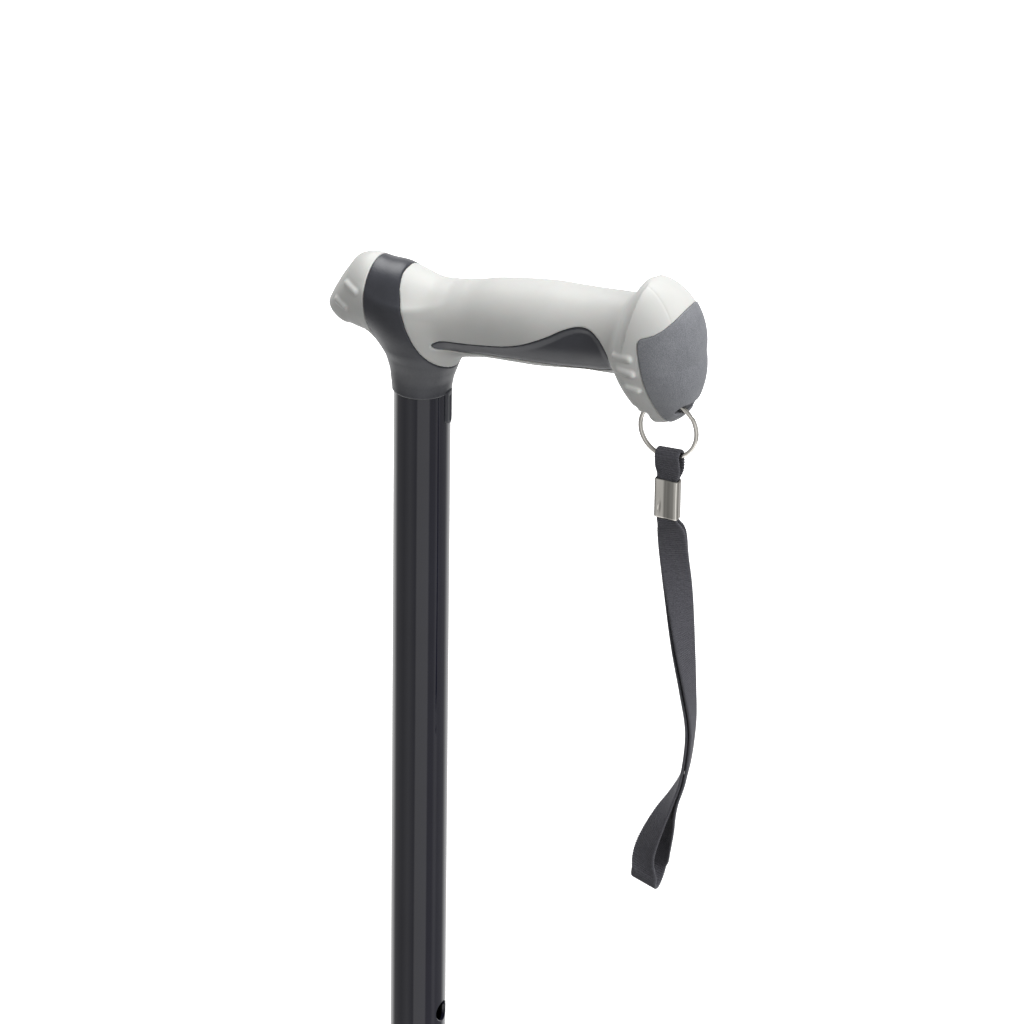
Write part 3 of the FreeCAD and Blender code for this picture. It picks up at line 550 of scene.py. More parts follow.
# Outlines of the differently coloured parts: (x, height), and (x, y) for the inlay under the grip.
BAND = [
    (-18.4, 80), (-6.4, 70), (-6.4, 51), (-6.0, 49), (-4.7, 45), (-1.7, 39.5), (0.9, 32.3), (3.8, 25.9),
    (6.1, 22), (8.8, 18.8), (11.4, 16.2), (13.8, 14.2), (15.4, 12.6),
    (20, 11.5), (26, 10.5), (40, 10.5), (40, -20), (-10, -20), (-10, 10), (-12.8, 17.5), (-15.5, 25.0),
    (-17.5, 32.0), (-18.4, 39.6), (-18.8, 45.5), (-18.8, 50)]
SIDE_INLAY = softened((
    (10.4, 26.2), (12.4, 27.9), (16.4, 28.9), (27, 30.0), (40.2, 32.6), (49.5, 35.8), (59.4, 41.0),
    (66, 45.0), (72, 47.2), (77, 46.9), (81.4, 43.8), (84.2, 39.5), (85.8, 35.5), (85.8, 32.0), (82, 29.8),
    (75.3, 28.6), (63.4, 27.8), (51.5, 27.4), (38.7, 26.2), (25.7, 24.6), (14.5, 24.2), (11.2, 24.7)))
UNDER_INLAY = softened((
    (37, 0), (44, -5), (54, -8.2), (64, -9.4), (74, -8.6), (81, -4.5), (83, 0), (81, 4.5), (74, 8.6),
    (64, 9.4), (54, 8.2), (44, 5)))
CAP_OUTLINE = (
    (109.5, -10.0), (98.7, 46.4), (98.6, 47.8), (98.9, 49.0), (99.6, 49.8), (100.8, 50.2), (104.0, 51.3),
    (106.9, 53.1), (109.4, 55.5), (110.9, 57.5), (111.8, 59.2), (113.8, 63.0), (122, 76), (140, 76),
    (140, -10))

SIDE_INLAY_START = 4.0
UNDER_INLAY_TOP = 32.0
JOINT_GAP = 0.035
COVER = 3.0
CORE_BORE = 10.7
CAP_PROUD, CAP_WALL = 0.35, 2.5
INLAY_DROP, INLAY_SCOOP, UNDER_DROP = 0.25, 1.9, 0.4
NOSE_END, GRIP_START = -13.0, -6.0
# The ring's slot, level across the cap, and the wider notch behind its lower lip.
SLOT_Y, SLOT_Z, SLOT_START, SLOT_MOUTH = -1.6, 17.9, 76, 107.0
NOTCH_X, NOTCH_TOP = 86.1, 17.5
# The mould's seam, which drifts to one side as it runs over the knob.
SEAM_Y, SEAM_HALF_WIDTH, SEAM_DEPTH = -5.2, 0.28, 0.16


def zones(x, y, z):
    """Where each material shows: distances to band, side inlay, under inlay and cap."""
    band = polygon_distance(BAND, x, z)
    side = np.maximum(polygon_distance(SIDE_INLAY, x, z), SIDE_INLAY_START - np.abs(y))
    under = np.maximum(polygon_distance(UNDER_INLAY, x, y), z - UNDER_INLAY_TOP)
    cap = polygon_distance(CAP_OUTLINE, x, z)
    return band, side, under, cap


def bar(one, two, half_one, half_two, radius):
    """Distance to a long bar whose section is a rounded rectangle."""
    corner_one = np.maximum(np.abs(one) - half_one, 0)
    corner_two = np.maximum(np.abs(two) - half_two, 0)
    return np.sqrt(corner_one ** 2 + corner_two ** 2) - radius


def ring_room(x, y, z):
    """The slot the ring passes through, and the wider notch behind it."""
    half_height = np.where(x > SLOT_MOUTH, 0.35, 1.4)
    slot = np.maximum(bar(y - SLOT_Y, z - SLOT_Z, 4.8, half_height, 1.6), SLOT_START - x)
    notch = np.maximum(bar(y - RING_Y, x - NOTCH_X, 4.9, 12.0, 1.4), z - NOTCH_TOP)
    return np.minimum(slot, notch)


def surface_nets(field, origin, size):
    """Quads around the zero level of a field sampled on a regular grid."""
    solid = field < 0
    counts = field.shape
    corners = [(i, j, k) for i in (0, 1) for j in (0, 1) for k in (0, 1)]
    filled = np.zeros([count - 1 for count in counts], np.int8)
    for i, j, k in corners:
        filled += solid[i:counts[0] - 1 + i, j:counts[1] - 1 + j, k:counts[2] - 1 + k]
    active = (filled > 0) & (filled < 8)
    cells = np.argwhere(active)
    index = -np.ones(active.shape, np.int64)
    index[active] = np.arange(len(cells))
    total = np.zeros((len(cells), 3))
    hits = np.zeros(len(cells))
    for a in range(8):
        for b in range(a + 1, 8):
            one, two = np.array(corners[a]), np.array(corners[b])
            if np.abs(one - two).sum() != 1:
                continue
            low, high = cells + one, cells + two
            low_value, high_value = field[tuple(low.T)], field[tuple(high.T)]
            crossed = (low_value < 0) != (high_value < 0)
            part = low_value[crossed] / (low_value - high_value)[crossed]
            total[crossed] += low[crossed] + part[:, None] * (high - low)[crossed]
            hits[crossed] += 1
    verts = np.asarray(origin) + size * total / hits[:, None]
    quads = []
    for axis in range(3):
        near = [slice(1, count - 1) for count in counts]
        far = list(near)
        near[axis], far[axis] = slice(0, counts[axis] - 1), slice(1, counts[axis])
        first, second = solid[tuple(near)], solid[tuple(far)]
        shift = np.array([0 if other == axis else 1 for other in range(3)])
        base = np.argwhere(first != second)
        flip = first[tuple(base.T)]
        base = base + shift
        u, v = [other for other in range(3) if other != axis]

        def cell(du, dv):
            spot = base.copy()
            spot[:, u] -= du
            spot[:, v] -= dv
            return index[tuple(spot.T)]

        quad = np.stack([cell(1, 1), cell(0, 1), cell(0, 0), cell(1, 0)], 1)
        if axis == 1:
            flip = ~flip
        quad[~flip] = quad[~flip][:, ::-1]
        quads.append(quad)
    return verts, np.concatenate(quads)


def settled(field, verts, rounds=2, step=0.03):
    """Moves the net's points onto the exact surface of the field."""
    for _ in range(rounds):
        here = field(*verts.T)
        slope = np.zeros_like(verts)
        for axis in range(3):
            shift = np.zeros(3)
            shift[axis] = step
            slope[:, axis] = (field(*(verts + shift).T) - here) / step
        size = np.maximum((slope ** 2).sum(1), 0.05)
        move = slope * (here / size)[:, None]
        length = np.maximum(np.linalg.norm(move, axis=1), 1e-9)
        verts = verts - move * np.minimum(1, 0.25 / length)[:, None]
    return verts


def net_of(field, low, high, size):
    """A quad mesh of the zero level of a handle field between two corners, lifted to the handle's height."""
    counts = [int((b - a) / size) + 2 for a, b in zip(low, high)]
    axes = [(low[axis] + size * np.arange(counts[axis])).astype(np.float32) for axis in range(3)]
    values = field(axes[0][:, None, None], axes[1][None, :, None], axes[2][None, None, :])
    verts, quads = surface_nets(np.ascontiguousarray(values), low, size)
    return settled(field, verts) + np.array([0, 0, HANDLE_BASE]), quads.tolist()


def seam_line(x, y, z):
    """How strongly the seam shows: only over the top of the knob, fading in."""
    line_y = SEAM_Y - 6.5 * np.clip((x - 96.0) / 14.0, 0, 1)
    fade = np.clip((x - 94.5) / 3, 0, 1) * np.clip((z - 50) / 4, 0, 1)
    return np.exp(-((y - line_y) / SEAM_HALF_WIDTH) ** 2) * fade


def cover_field(nose):
    """The soft cover of the nose, or that of the grip and knob."""
    def field(x, y, z):
        form = handle_form(x, y, z)
        outer = form
        for start, end in (NOSE_RIDGES if nose else POMMEL_RIDGES):
            outer = smooth_min(outer, ridge(x, np.abs(y), z, start, end, RIDGE_R), 0.9)
        if not nose:
            outer = outer + SEAM_DEPTH * seam_line(x, y, z)
        band, side, under, cap = zones(x, y, z)
        edge = JOINT_GAP - np.minimum(np.minimum(band, side), np.minimum(under, cap))
        shell = smooth_max(outer, edge, 0.45)
        shell = smooth_max(shell, -(form + COVER), 0.3)
        if nose:
            return np.maximum(shell, x - NOSE_END)
        return smooth_max(np.maximum(shell, GRIP_START - x), -ring_room(x, y, z), 0.6)
    return field


def core_field(x, y, z):
    """The hard core: it shows at the band and, a little sunk, in the inlays."""
    form = handle_form(x, y, z)
    band, side, under, cap = zones(x, y, z)
    inside = form + COVER + JOINT_GAP
    inside = np.minimum(inside, smooth_max(form, band + JOINT_GAP, 0.45))
    scoop = INLAY_SCOOP * np.clip((z - 27.0) / 18.0, 0, 1) ** 1.2 * np.clip(-side / 3.0, 0.25, 1)
    inside = np.minimum(inside, smooth_max(form + INLAY_DROP + scoop, side + JOINT_GAP, 0.5))
    inside = np.minimum(inside, smooth_max(form + UNDER_DROP, under + JOINT_GAP, 0.5))
    inside = np.maximum(inside, JOINT_GAP - cap)
    bore = np.maximum(np.sqrt(x ** 2 + y ** 2) - CORE_BORE, z - TUBE_IN_HANDLE - 0.3)
    inside = smooth_max(inside, -bore, 0.3)
    return smooth_max(inside, -ring_room(x, y, z), 0.4)


def cap_field(x, y, z):
    form = handle_form(x, y, z)
    cap = zones(x, y, z)[3]
    shell = smooth_max(form - CAP_PROUD, cap + JOINT_GAP, 0.55)
    shell = smooth_max(shell, -(form + CAP_WALL), 0.3)
    return smooth_max(shell, -ring_room(x, y, z), 0.7)


def tab_shape():
    """The tongue below the collar: a curved strip with a rounded foot and a groove down its middle."""
    rows, columns = 26, 21
    top, foot, half_width, proud = 1.2, -13.2, 2.5, 0.85
    groove_half, groove_depth = 0.75, 0.45
    verts = []
    for row in range(rows):
        height = top + (foot - top) * row / (rows - 1)
        rounding = max(0.0, foot + half_width - height) / half_width
        half = half_width * math.sqrt(max(0.0, 1 - rounding ** 2)) + 0.02
        for column in range(columns):
            across = half * (2 * column / (columns - 1) - 1)
            edge = min(half - abs(across), height - foot + 0.02)
            lift = proud * min(1.0, max(edge, 0.0) / 0.55) ** 0.5
            if abs(across) < groove_half and foot + 1.5 < height < -0.6:
                lift -= groove_depth * (1 - (across / groove_half) ** 4)
            angle = across / TUBE_R
            reach = TUBE_R + 0.02 + max(lift, 0.0)
            verts.append((reach * math.cos(angle), reach * math.sin(angle), HANDLE_BASE + height))
    outer = len(verts)
    for row in range(rows):
        for column in range(columns):
            x, y, z = verts[row * columns + column]
            size = (TUBE_R + 0.01) / math.hypot(x, y)
            verts.append((x * size, y * size, z))
    faces = grid_faces(rows, columns, wrap_columns=False)
    faces = [face[::-1] for face in faces] + [[index + outer for index in face] for face in faces]
    rim = ([column for column in range(columns)]
           + [row * columns + columns - 1 for row in range(1, rows)]
           + [(rows - 1) * columns + column for column in range(columns - 2, -1, -1)]
           + [row * columns for row in range(rows - 2, 0, -1)])
    faces += stitch(rim, [index + outer for index in rim])
    return np.array(verts), faces


def handle():
    net = 0.42
    core = join(net_of(core_field, (-31, -22, -1.5), (113, 22, 66), net), tab_shape())
    add("handle_core_form", core, "shaft", "core_plastic", ["handle_core"])
    nose = net_of(cover_field(True), (-42, -18, 14), (-12, 18, 55), net * 0.9)
    add("nose_cover_form", nose, "shaft", "grip_rubber", ["nose_cover"])
    grip = net_of(cover_field(False), (-8, -24, 6), (120, 24, 70), net)
    add("grip_cover_form", grip, "shaft", "grip_rubber", ["grip_cover"])
    cap = net_of(cap_field, (94, -23, 6), (120, 23, 68), net * 0.9)
    add("end_cap_form", cap, "shaft", "cap_plastic", ["end_cap"])


# Shaft ----------------------------------------------------------------------------------

HOLE_R = 4.25
HOLE_PITCH = 19.05
HOLE_COUNT = 13
FIRST_HOLE = HANDLE_BASE - 277.0
# The button stands in the fifth hole.
BUTTON_HOLE = 4
BUTTON_Z = FIRST_HOLE - BUTTON_HOLE * HOLE_PITCH
BUTTON_R, BUTTON_PROUD = 4.0, 1.9


def drilled_tube(outer, inner, low, high, holes, columns=96):
    """A tube with round holes on its +X side. Each hole sits in a square patch of the side's grid."""
    patch_columns, patch_rows = 18, 16
    half_patch = patch_columns / 2 * 2 * math.pi / columns * outer
    levels = [low, low + 0.35, high - 0.35, high]
    for centre in holes:
        levels += [centre - half_patch + 2 * half_patch * step / patch_rows for step in range(patch_rows + 1)]
    levels = sorted(levels)
    rows = len(levels)
    verts, faces = [], []

    def point(angle, height, radius):
        verts.append((radius * math.cos(angle), radius * math.sin(angle), height))
        return len(verts) - 1

    sheets = []
    for radius in (outer, inner):
        sheet = []
        for row, level in enumerate(levels):
            reach = radius
            if row in (0, rows - 1):
                reach += -0.3 if radius == outer else 0.3
            sheet.append([point(2 * math.pi * column / columns, level, reach)
                          for column in range(columns)])
        sheets.append(sheet)
    half = patch_columns // 2
    holed = {levels.index(min(levels, key=lambda level: abs(level - (centre - half_patch)))): centre
             for centre in holes}
    skipped = {(start + row, column % columns) for start in holed for row in range(patch_rows)
               for column in range(-half, half)}
    for sheet, outwards in zip(sheets, (True, False)):
        for row in range(rows - 1):
            for column in range(columns):
                if (row, column) in skipped:
                    continue
                after = (column + 1) % columns
                face = [sheet[row][column], sheet[row][after], sheet[row + 1][after], sheet[row + 1][column]]
                faces.append(face if outwards else face[::-1])
    for start, centre in holed.items():
        rims = []
        for sheet, radius, outwards in zip(sheets, (outer, inner), (True, False)):
            ring = ([(start, column) for column in range(-half, half)]
                    + [(start + row, half) for row in range(patch_rows)]
                    + [(start + patch_rows, column) for column in range(half, -half, -1)]
                    + [(start + row, -half) for row in range(patch_rows, 0, -1)])
            before = [sheet[row][column % columns] for row, column in ring]
            flat = [(2 * math.pi * column / columns * outer, levels[row] - centre)
                    for row, column in ring]
            lip = 0.25 if outwards else 0.12
            for part in (0.3, 0.6, 0.85, 1.0, 1.05):
                here = []
                for across, up in flat:
                    size = math.hypot(across, up)
                    target = (HOLE_R + lip) / size
                    share = min(part, 1.0)
                    scale = (1 - share) + share * target
                    drop = 0.0
                    if part > 1.0:
                        scale = HOLE_R / size
                        drop = lip * (-1 if outwards else 1)
                    here.append(point(across * scale / outer, centre + up * scale, radius + drop))
                faces += stitch(before, here, not outwards)
                before = here
            rims.append(before)
        faces += stitch(*rims)
    for row in (0, rows - 1):
        faces += stitch(sheets[0][row], sheets[1][row], row == 0)
    return np.array(verts), faces


def shaft():
    holes = [FIRST_HOLE - step * HOLE_PITCH for step in range(HOLE_COUNT)]
    upper = drilled_tube(TUBE_R, TUBE_BORE, TUBE_END, HANDLE_BASE + TUBE_IN_HANDLE, holes)
    add("upper_tube_form", upper, "shaft", "tube_black", ["upper_tube"], 40)
    low, high = (corner.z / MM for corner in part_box("lower_tube"))
    lower = drilled_tube(INNER_R, INNER_BORE, low, high, [BUTTON_Z])
    add("lower_tube_form", lower, "base", "inner_tube", ["lower_tube"], 40)
    tip, inside, flange = TUBE_R + BUTTON_PROUD, INNER_BORE - 2, 5.2
    dome = [(BUTTON_R * math.sin(math.radians(angle)), tip - 1.7 * (1 - math.cos(math.radians(angle))))
            for angle in range(72, 0, -8)]
    profile = [(0.01, inside - 1.4), (flange, inside - 1.4), (flange, inside), (BUTTON_R, inside + 0.02),
               (BUTTON_R, tip - 1.5)] + dome + [(0.01, tip)]
    button = lathe(profile, 64, direction="x", at=(0, 0, BUTTON_Z))
    add("snap_button_form", button, "button", "nickel", ["snap_button"], 35)
    press_spring()


def press_spring():
    """The leaf spring bent into a U, in one fixed shape (the real one closes up as the button goes in)."""
    low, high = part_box("button_spring")
    rear, front = ((corner.x - AXIS_X) / MM for corner in (low, high))
    bottom, top = low.z / MM, high.z / MM
    sheet, half_width, travel = 0.8, 4.5, 4.0
    middle, radius = (rear + front) / 2, (front - rear) / 2
    verts = []
    path = [(180, top)] + [(angle, bottom + radius) for angle in range(180, 361, 15)] + [(360, top)]
    for angle, height in path:
        across, down = math.cos(math.radians(angle)), math.sin(math.radians(angle))
        for reach, side in ((radius, -1), (radius, 1), (radius - sheet, 1), (radius - sheet, -1)):
            verts.append((middle + reach * across, side * half_width, height + reach * down))
    faces = grid_faces(len(path), 4) + [[0, 1, 2, 3], [len(verts) - 1 - corner for corner in range(4)]]
    leaf = add("button_spring_form", (np.array(verts), faces), "base", "zinc_steel", ["button_spring"], 30)
    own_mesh(leaf)


# Lock collar and bushing ----------------------------------------------------------------


def fluted_collar():
    """The hand collar: twelve scooped flutes that fade out towards both ends."""
    low, high = (corner.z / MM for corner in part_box("lock_collar"))
    outer, bore, mouth = 17.0, 13.3, 10.1
    flute_middle, flute_r = 18.6, 2.6
    segments = 360
    angles = np.arange(segments) * 2 * math.pi / segments
    from_flute = np.radians(np.abs((np.degrees(angles) + 15) % 30 - 15))
    arc = from_flute * flute_middle
    scoop = flute_middle * np.cos(from_flute) - np.sqrt(np.maximum(flute_r ** 2 - arc ** 2, 0))
    cut_in = np.where(arc < flute_r, scoop, outer)
    rows = []

    def level(reach, height):
        rows.append(np.stack([reach * np.cos(angles), reach * np.sin(angles), height + 0 * angles], -1))

    for height in np.linspace(low, high, 64):
        up, down = height - low, high - height
        body = outer - 0.42 * max(0.0, 6.0 - up) ** 2 / 6.0 - 0.6 * max(0.0, 2.0 - down)
        fade = np.clip(min(up - 5.5, down - 3.8) / 2.2, 0, 1)
        fade = fade * fade * (3 - 2 * fade)
        level(body - (body - np.minimum(cut_in, body)) * fade, height)
    for radius, height in (
            (outer - 2.2, high), (bore + 0.4, high), (bore, high - 0.4), (bore, TUBE_END - 11.0),
            (11.7, TUBE_END - 21.0), (mouth, TUBE_END - 21.0), (mouth, low + 0.5), (mouth + 0.5, low),
            (outer - 4.0, low)):
        level(radius, height)
    return np.concatenate(rows), grid_faces(len(rows), segments, wrap_rows=True)


def bushing():
    """The tapered bushing in the tube's end, with four plain thread rings outside."""
    cup, bore, outside = TUBE_R + 0.05, 9.675, 13.05
    low = TUBE_END - 20.0
    profile = [(bore, low), (bore + 1.3, low), (outside, low + 9)]
    for index in range(4):
        start = TUBE_END - 4 + 4 * index
        profile += [(outside, start), (outside + 0.75, start + 0.8), (outside + 0.75, start + 1.6),
                    (outside, start + 2.4)]
    profile += [(outside, TUBE_END + 21.6), (outside - 0.4, TUBE_END + 22), (cup + 0.2, TUBE_END + 22),
                (cup, TUBE_END + 21.8), (cup, TUBE_END - 0.05), (bore, TUBE_END - 0.05)]
    return lathe(profile, 96, closed=True)


def collar():
    add("lock_collar_form", fluted_collar(), "lock", "collar_plastic", ["lock_collar"], 50)
    add("collet_bushing_form", bushing(), "shaft", "collar_plastic", ["collet_bushing"], 30)


# Base -----------------------------------------------------------------------------------

LEG_R = 7.95
CROWN_Z = 104.0
LEGS = {
    "near": dict(half=36.0, out=78.0, side=-44.0, crown=-20.5, ankle=50.0),
    "far": dict(half=42.0, out=92.0, side=104.0, crown=27.0, ankle=55.0),
}
PLATE_LOW = CROWN_Z + LEG_R + 0.05
PLATE_TOP = PLATE_LOW + 3.0
SOCKET_R, SOCKET_FACE = 11.5, 11.55
BOLT_Z = 82.0


def leg(half, out, side, crown, ankle):
    """One bent bar, from a foot up over its level crown and down to the other foot."""
    rear = [(out, side, 8.5), (out, side, ankle), (half, crown, CROWN_Z)]
    corners = rear + [(-x, y, z) for x, y, z in reversed(rear)]
    path = rounded_path(corners, (22, 26, 26, 22))
    return sweep(path, LEG_R, LEG_R, 48, (0, 1, 0))


def tip_profile():
    """The rubber tip from the middle of its sole, round the outside and down into its bore."""
    sole = [(0.01, 0.0), (4.0, 0.0), (4.2, 1.4), (5.3, 1.4), (5.5, 0.0), (8.0, 0.0), (8.2, 1.4), (9.3, 1.4),
            (9.5, 0.0), (12.0, 0.0), (12.2, 1.4), (13.3, 1.4), (13.5, 0.0)]
    side = [(15.6, 0.0), (16.5, 1.0), (16.5, 4.6), (15.9, 5.6), (13.9, 9.4), (12.6, 12.2), (12.2, 15.0),
            (12.2, 19.0), (12.75, 19.6), (12.75, 21.2), (12.2, 21.8), (12.2, 24.0), (12.75, 24.6),
            (12.75, 26.2), (12.2, 26.8), (12.2, 30.2), (12.95, 31.2), (12.95, 35.0), (12.3, 36.0),
            (11.5, 39.6), (11.1, 40.0),
            (8.3, 40.0), (8.0, 39.6), (8.0, 7.2), (0.01, 7.2)]
    return rounded_corners(sole + side, 0.5, 3)


def plate():
    """A flat plate with rounded corners, softened edges and the opening for the socket."""
    half_x, near, far, radius, opening = 26.0, -32.0, 38.0, 8.0, 11.55
    middle_y, half_y = (near + far) / 2, (far - near) / 2
    count = 192
    outline = []
    for index in range(count):
        angle = 2 * math.pi * index / count
        aim = np.array([math.cos(angle), math.sin(angle)])
        low, high = 0.0, 80.0
        for _ in range(40):
            reach = (low + high) / 2
            x, y = aim * reach
            y -= middle_y
            outside_x = max(abs(x) - (half_x - radius), 0)
            outside_y = max(abs(y) - (half_y - radius), 0)
            inside = math.hypot(outside_x, outside_y) < radius
            low, high = (reach, high) if inside else (low, reach)
        outline.append((aim, (low + high) / 2))
    low_z, high_z = PLATE_LOW, PLATE_TOP
    rings = []
    for inset, height in ((0.0, low_z + 0.4), (0.0, high_z - 0.5), (0.15, high_z - 0.15), (0.5, high_z)):
        rings.append([(*(aim * (reach - inset)), height) for aim, reach in outline])
    for wider, height in ((0.2, high_z), (0.0, high_z - 0.2), (0.0, low_z + 0.1), (0.1, low_z)):
        rings.append([(*(aim * (opening + wider)), height) for aim, _ in outline])
    rings.append([(*(aim * (reach - 0.4)), low_z) for aim, reach in outline])
    return np.array(rings).reshape(-1, 3), grid_faces(len(rings), count, wrap_rows=True)


def round_weld(radius, leg_size, height):
    """A fillet weld around an upright tube, with the ripples of its passes."""
    segments, around = 240, 10
    verts = []
    for index in range(segments):
        angle = 2 * math.pi * index / segments
        ripple = 0.14 * (1 - abs(math.sin(angle * 26))) + 0.10 * math.sin(angle * 5 + 1)
        size = leg_size - 0.35 + ripple
        profile = [(0.0, 0.0), (size, 0.0)]
        for step in range(1, around - 2):
            part = step / (around - 2)
            bulge = 0.18 * math.sin(math.pi * part)
            profile.append((size * (1 - part) + bulge, size * part + bulge))
        profile.append((0.0, size))
        for out, up in profile:
            reach = radius + out
            verts.append((reach * math.cos(angle), reach * math.sin(angle), height + up))
    return np.array(verts), [face[::-1] for face in grid_faces(segments, around, wrap_rows=True)]


def crown_weld(crown, side):
    """A bead in the corner between a leg crown and the plate above it."""
    segments, around, half_length = 60, 12, 19.6
    verts = []
    for index in range(segments):
        part = index / (segments - 1)
        x = half_length * (2 * part - 1)
        end = min(1.0, min(part, 1 - part) * 14)
        ripple = 0.12 * (1 - abs(math.sin(x * 1.3)))
        size = (2.7 + ripple) * math.sqrt(end) + 0.02
        centre_y = crown + side * 5.1
        centre_z = PLATE_LOW - 1.75
        for step in range(around):
            angle = 2 * math.pi * step / around
            verts.append((x, centre_y + size * 0.62 * math.cos(angle),
                          centre_z + size * 0.58 * math.sin(angle)))
    return np.array(verts), grid_faces(segments, around) + end_faces(segments, around)


def hexagon_prism(start, end, flats, bore, chamfer_start):
    """A hexagon along X at the bolt's height, with turned, chamfered ends."""
    segments = 96
    angles = np.arange(segments) * 2 * math.pi / segments
    fold = np.abs((np.degrees(angles) + 30) % 60 - 30)
    hexagon = flats / 2 / np.cos(np.radians(fold))
    rows = []

    def row(reach, place):
        across, up = reach * np.cos(angles), BOLT_Z + reach * np.sin(angles)
        rows.append(np.stack([place + 0 * angles, across, up], -1))

    def turned(depth):
        return np.minimum(hexagon, flats / 2 * 0.97 + depth * 1.7)

    inner = np.full(segments, max(bore, 0.01))
    row(inner, start)
    row(turned(0.0) if chamfer_start else hexagon, start)
    if chamfer_start:
        for depth in (0.15, 0.3, 0.5, 0.8):
            row(turned(depth), start + depth)
    for depth in (0.8, 0.5, 0.3, 0.15, 0.0):
        row(turned(depth), end - depth)
    row(inner, end)
    faces = grid_faces(len(rows), segments)
    if bore > 0:
        last = (len(rows) - 1) * segments
        faces += stitch(list(range(last, last + segments)), list(range(segments)))
    else:
        faces += end_faces(len(rows), segments)
    return np.concatenate(rows), faces


def base():
    for name, sizes in LEGS.items():
        add(name + "_leg_form", leg(**sizes), "base", "base_paint", [name + "_leg_tube"], 40)
        for end, sign in (("front", -1), ("rear", 1)):
            spot = (sign * sizes["out"], sizes["side"], 0)
            node = "rubber_tip_%s_%s" % (name, end)
            add(node + "_form", lathe(tip_profile(), 96, at=spot), "base", "tip_rubber", [node], 35)
    add("bridge_plate_form", plate(), "base", "base_paint", ["bridge_plate"], 25)
    socket = ring_profile(SOCKET_R, 9.6, 62.0, 121.0, 0.4)
    add("base_socket_form", lathe(socket, 96, closed=True), "base", "base_paint", ["base_socket"], 30)
    weld = round_weld(SOCKET_R, 3.5, PLATE_TOP)
    add("socket_weld_form", weld, "base", "base_paint", ["socket_weld"], 35)
    beads = [crown_weld(sizes["crown"], side) for sizes in LEGS.values() for side in (-1, 1)]
    add("crown_welds_form", join(*beads), "base", "base_paint", ["crown_welds"], 50)
    washer, flats, shank_r = 1.0, 10.0, 2.95
    seat = SOCKET_FACE + washer
    head = hexagon_prism(seat, seat + 4.0, flats, 0.0, False)
    corners = [(0.01, -19.0), (2.5, -19.0), (shank_r, -18.5), (shank_r, seat), (0.01, seat)]
    shank = lathe(rounded_corners(corners, 0.1, 1), 48, direction="x", at=(0, 0, BOLT_Z))
    add("socket_bolt_form", join(shank, head), "base", "zinc_steel", ["socket_bolt"], 25)
    nut = hexagon_prism(-seat - 5.6, -seat, flats, 3.0, True)
    add("socket_nut_form", nut, "base", "zinc_steel", ["socket_nut"], 25)
    washers = [lathe(ring_profile(6.0, 3.15, start, start + washer, 0.15), 64, True, "x", (0, 0, BOLT_Z))
               for start in (SOCKET_FACE, -seat)]
    add("socket_washers_form", join(*washers), "base", "zinc_steel", ["socket_washers"], 25)


# Ring, crimp and strap ------------------------------------------------------------------

RING_Z = HANDLE_BASE + 7.5
RING_MEAN = 11.6
TAPE_HALF_WIDTH = 5.6
TAPE_HALF_SHEET = 0.5
RIB_PITCH, RIB_HEIGHT, SELVEDGE_BEAD = 0.95, 0.17, 0.12


def split_ring():
    """Two coils of wire side by side, which cross over between the two cut ends."""
    steps, half_coil_gap = 300, 0.45
    path = []
    start = math.radians(35)
    for step in range(steps + 1):
        part = step / steps
        angle = start + part * 4 * math.pi
        shift = np.clip((part - 0.46) / 0.08, 0, 1)
        offset = half_coil_gap * (2 * shift * shift * (3 - 2 * shift) - 1)
        path.append((RING_X + RING_MEAN * math.cos(angle), RING_Y + offset,
                     RING_Z + RING_MEAN * math.sin(angle)))
    return sweep(path, 0.43, 0.74, 20, (1, 0, 0))


def crimp():
    """A flat sleeve folded from sheet: rounded corners, a closing seam behind and pressed marks."""
    half_x, half_y, radius, sheet, tall = 4.95, 2.15, 1.0, 0.5, 16.3
    top = RING_Z - RING_MEAN - 9.2
    low = top - tall
    middle = RING_X + 0.35
    outline = []
    arc_steps, long_steps, short_steps = 8, 36, 6
    centres = np.array([(1, 1), (-1, 1), (-1, -1), (1, -1)]) * (half_x - radius, half_y - radius)
    for corner, centre in enumerate(centres):
        for step in range(arc_steps + 1):
            angle = math.radians(90 * corner + 90 * step / arc_steps)
            outline.append((centre, np.array([math.cos(angle), math.sin(angle)])))
        goal = centres[(corner + 1) % 4]
        count = long_steps if corner in (0, 2) else short_steps
        for step in range(1, count):
            outline.append((centre + (goal - centre) * step / count, outline[-1][1]))
    levels = np.linspace(0, 1, 61)
    rows = []
    for level in levels:
        height = low + tall * level
        edge = min(level, 1 - level) * tall
        curl = 0.22 * max(0.0, 1 - edge / 0.5) ** 2
        row = []
        for centre, normal in outline:
            spot = centre + normal * (radius - curl)
            along = spot[0] / half_x
            swell = 0.16 * (1 - along ** 2) * (1 - (2 * level - 1) ** 2) * normal[1]
            press = 0.0
            if normal[1] < -0.9:
                dent = (spot[0] + 2.6 - 1.4 * (level - 0.3)) / 0.5
                press = 0.28 * math.exp(-dent ** 2) * math.exp(-((level - 0.27) / 0.14) ** 2)
                press += 0.16 * math.exp(-((spot[0] - 0.4) / 1.1) ** 2)
            if normal[1] > 0.9:
                press = 0.25 * math.exp(-((spot[0]) / 0.16) ** 2)
            row.append((middle + spot[0], RING_Y + spot[1] + swell - press * normal[1], height))
        rows.append(row)
    inner = [centre + normal * (radius - sheet) for centre, normal in outline]
    for level in levels[::-1]:
        rows.append([(middle + x, RING_Y + y, low + tall * level) for x, y in inner])
    return np.array(rows).reshape(-1, 3), grid_faces(len(rows), len(outline), wrap_rows=True)


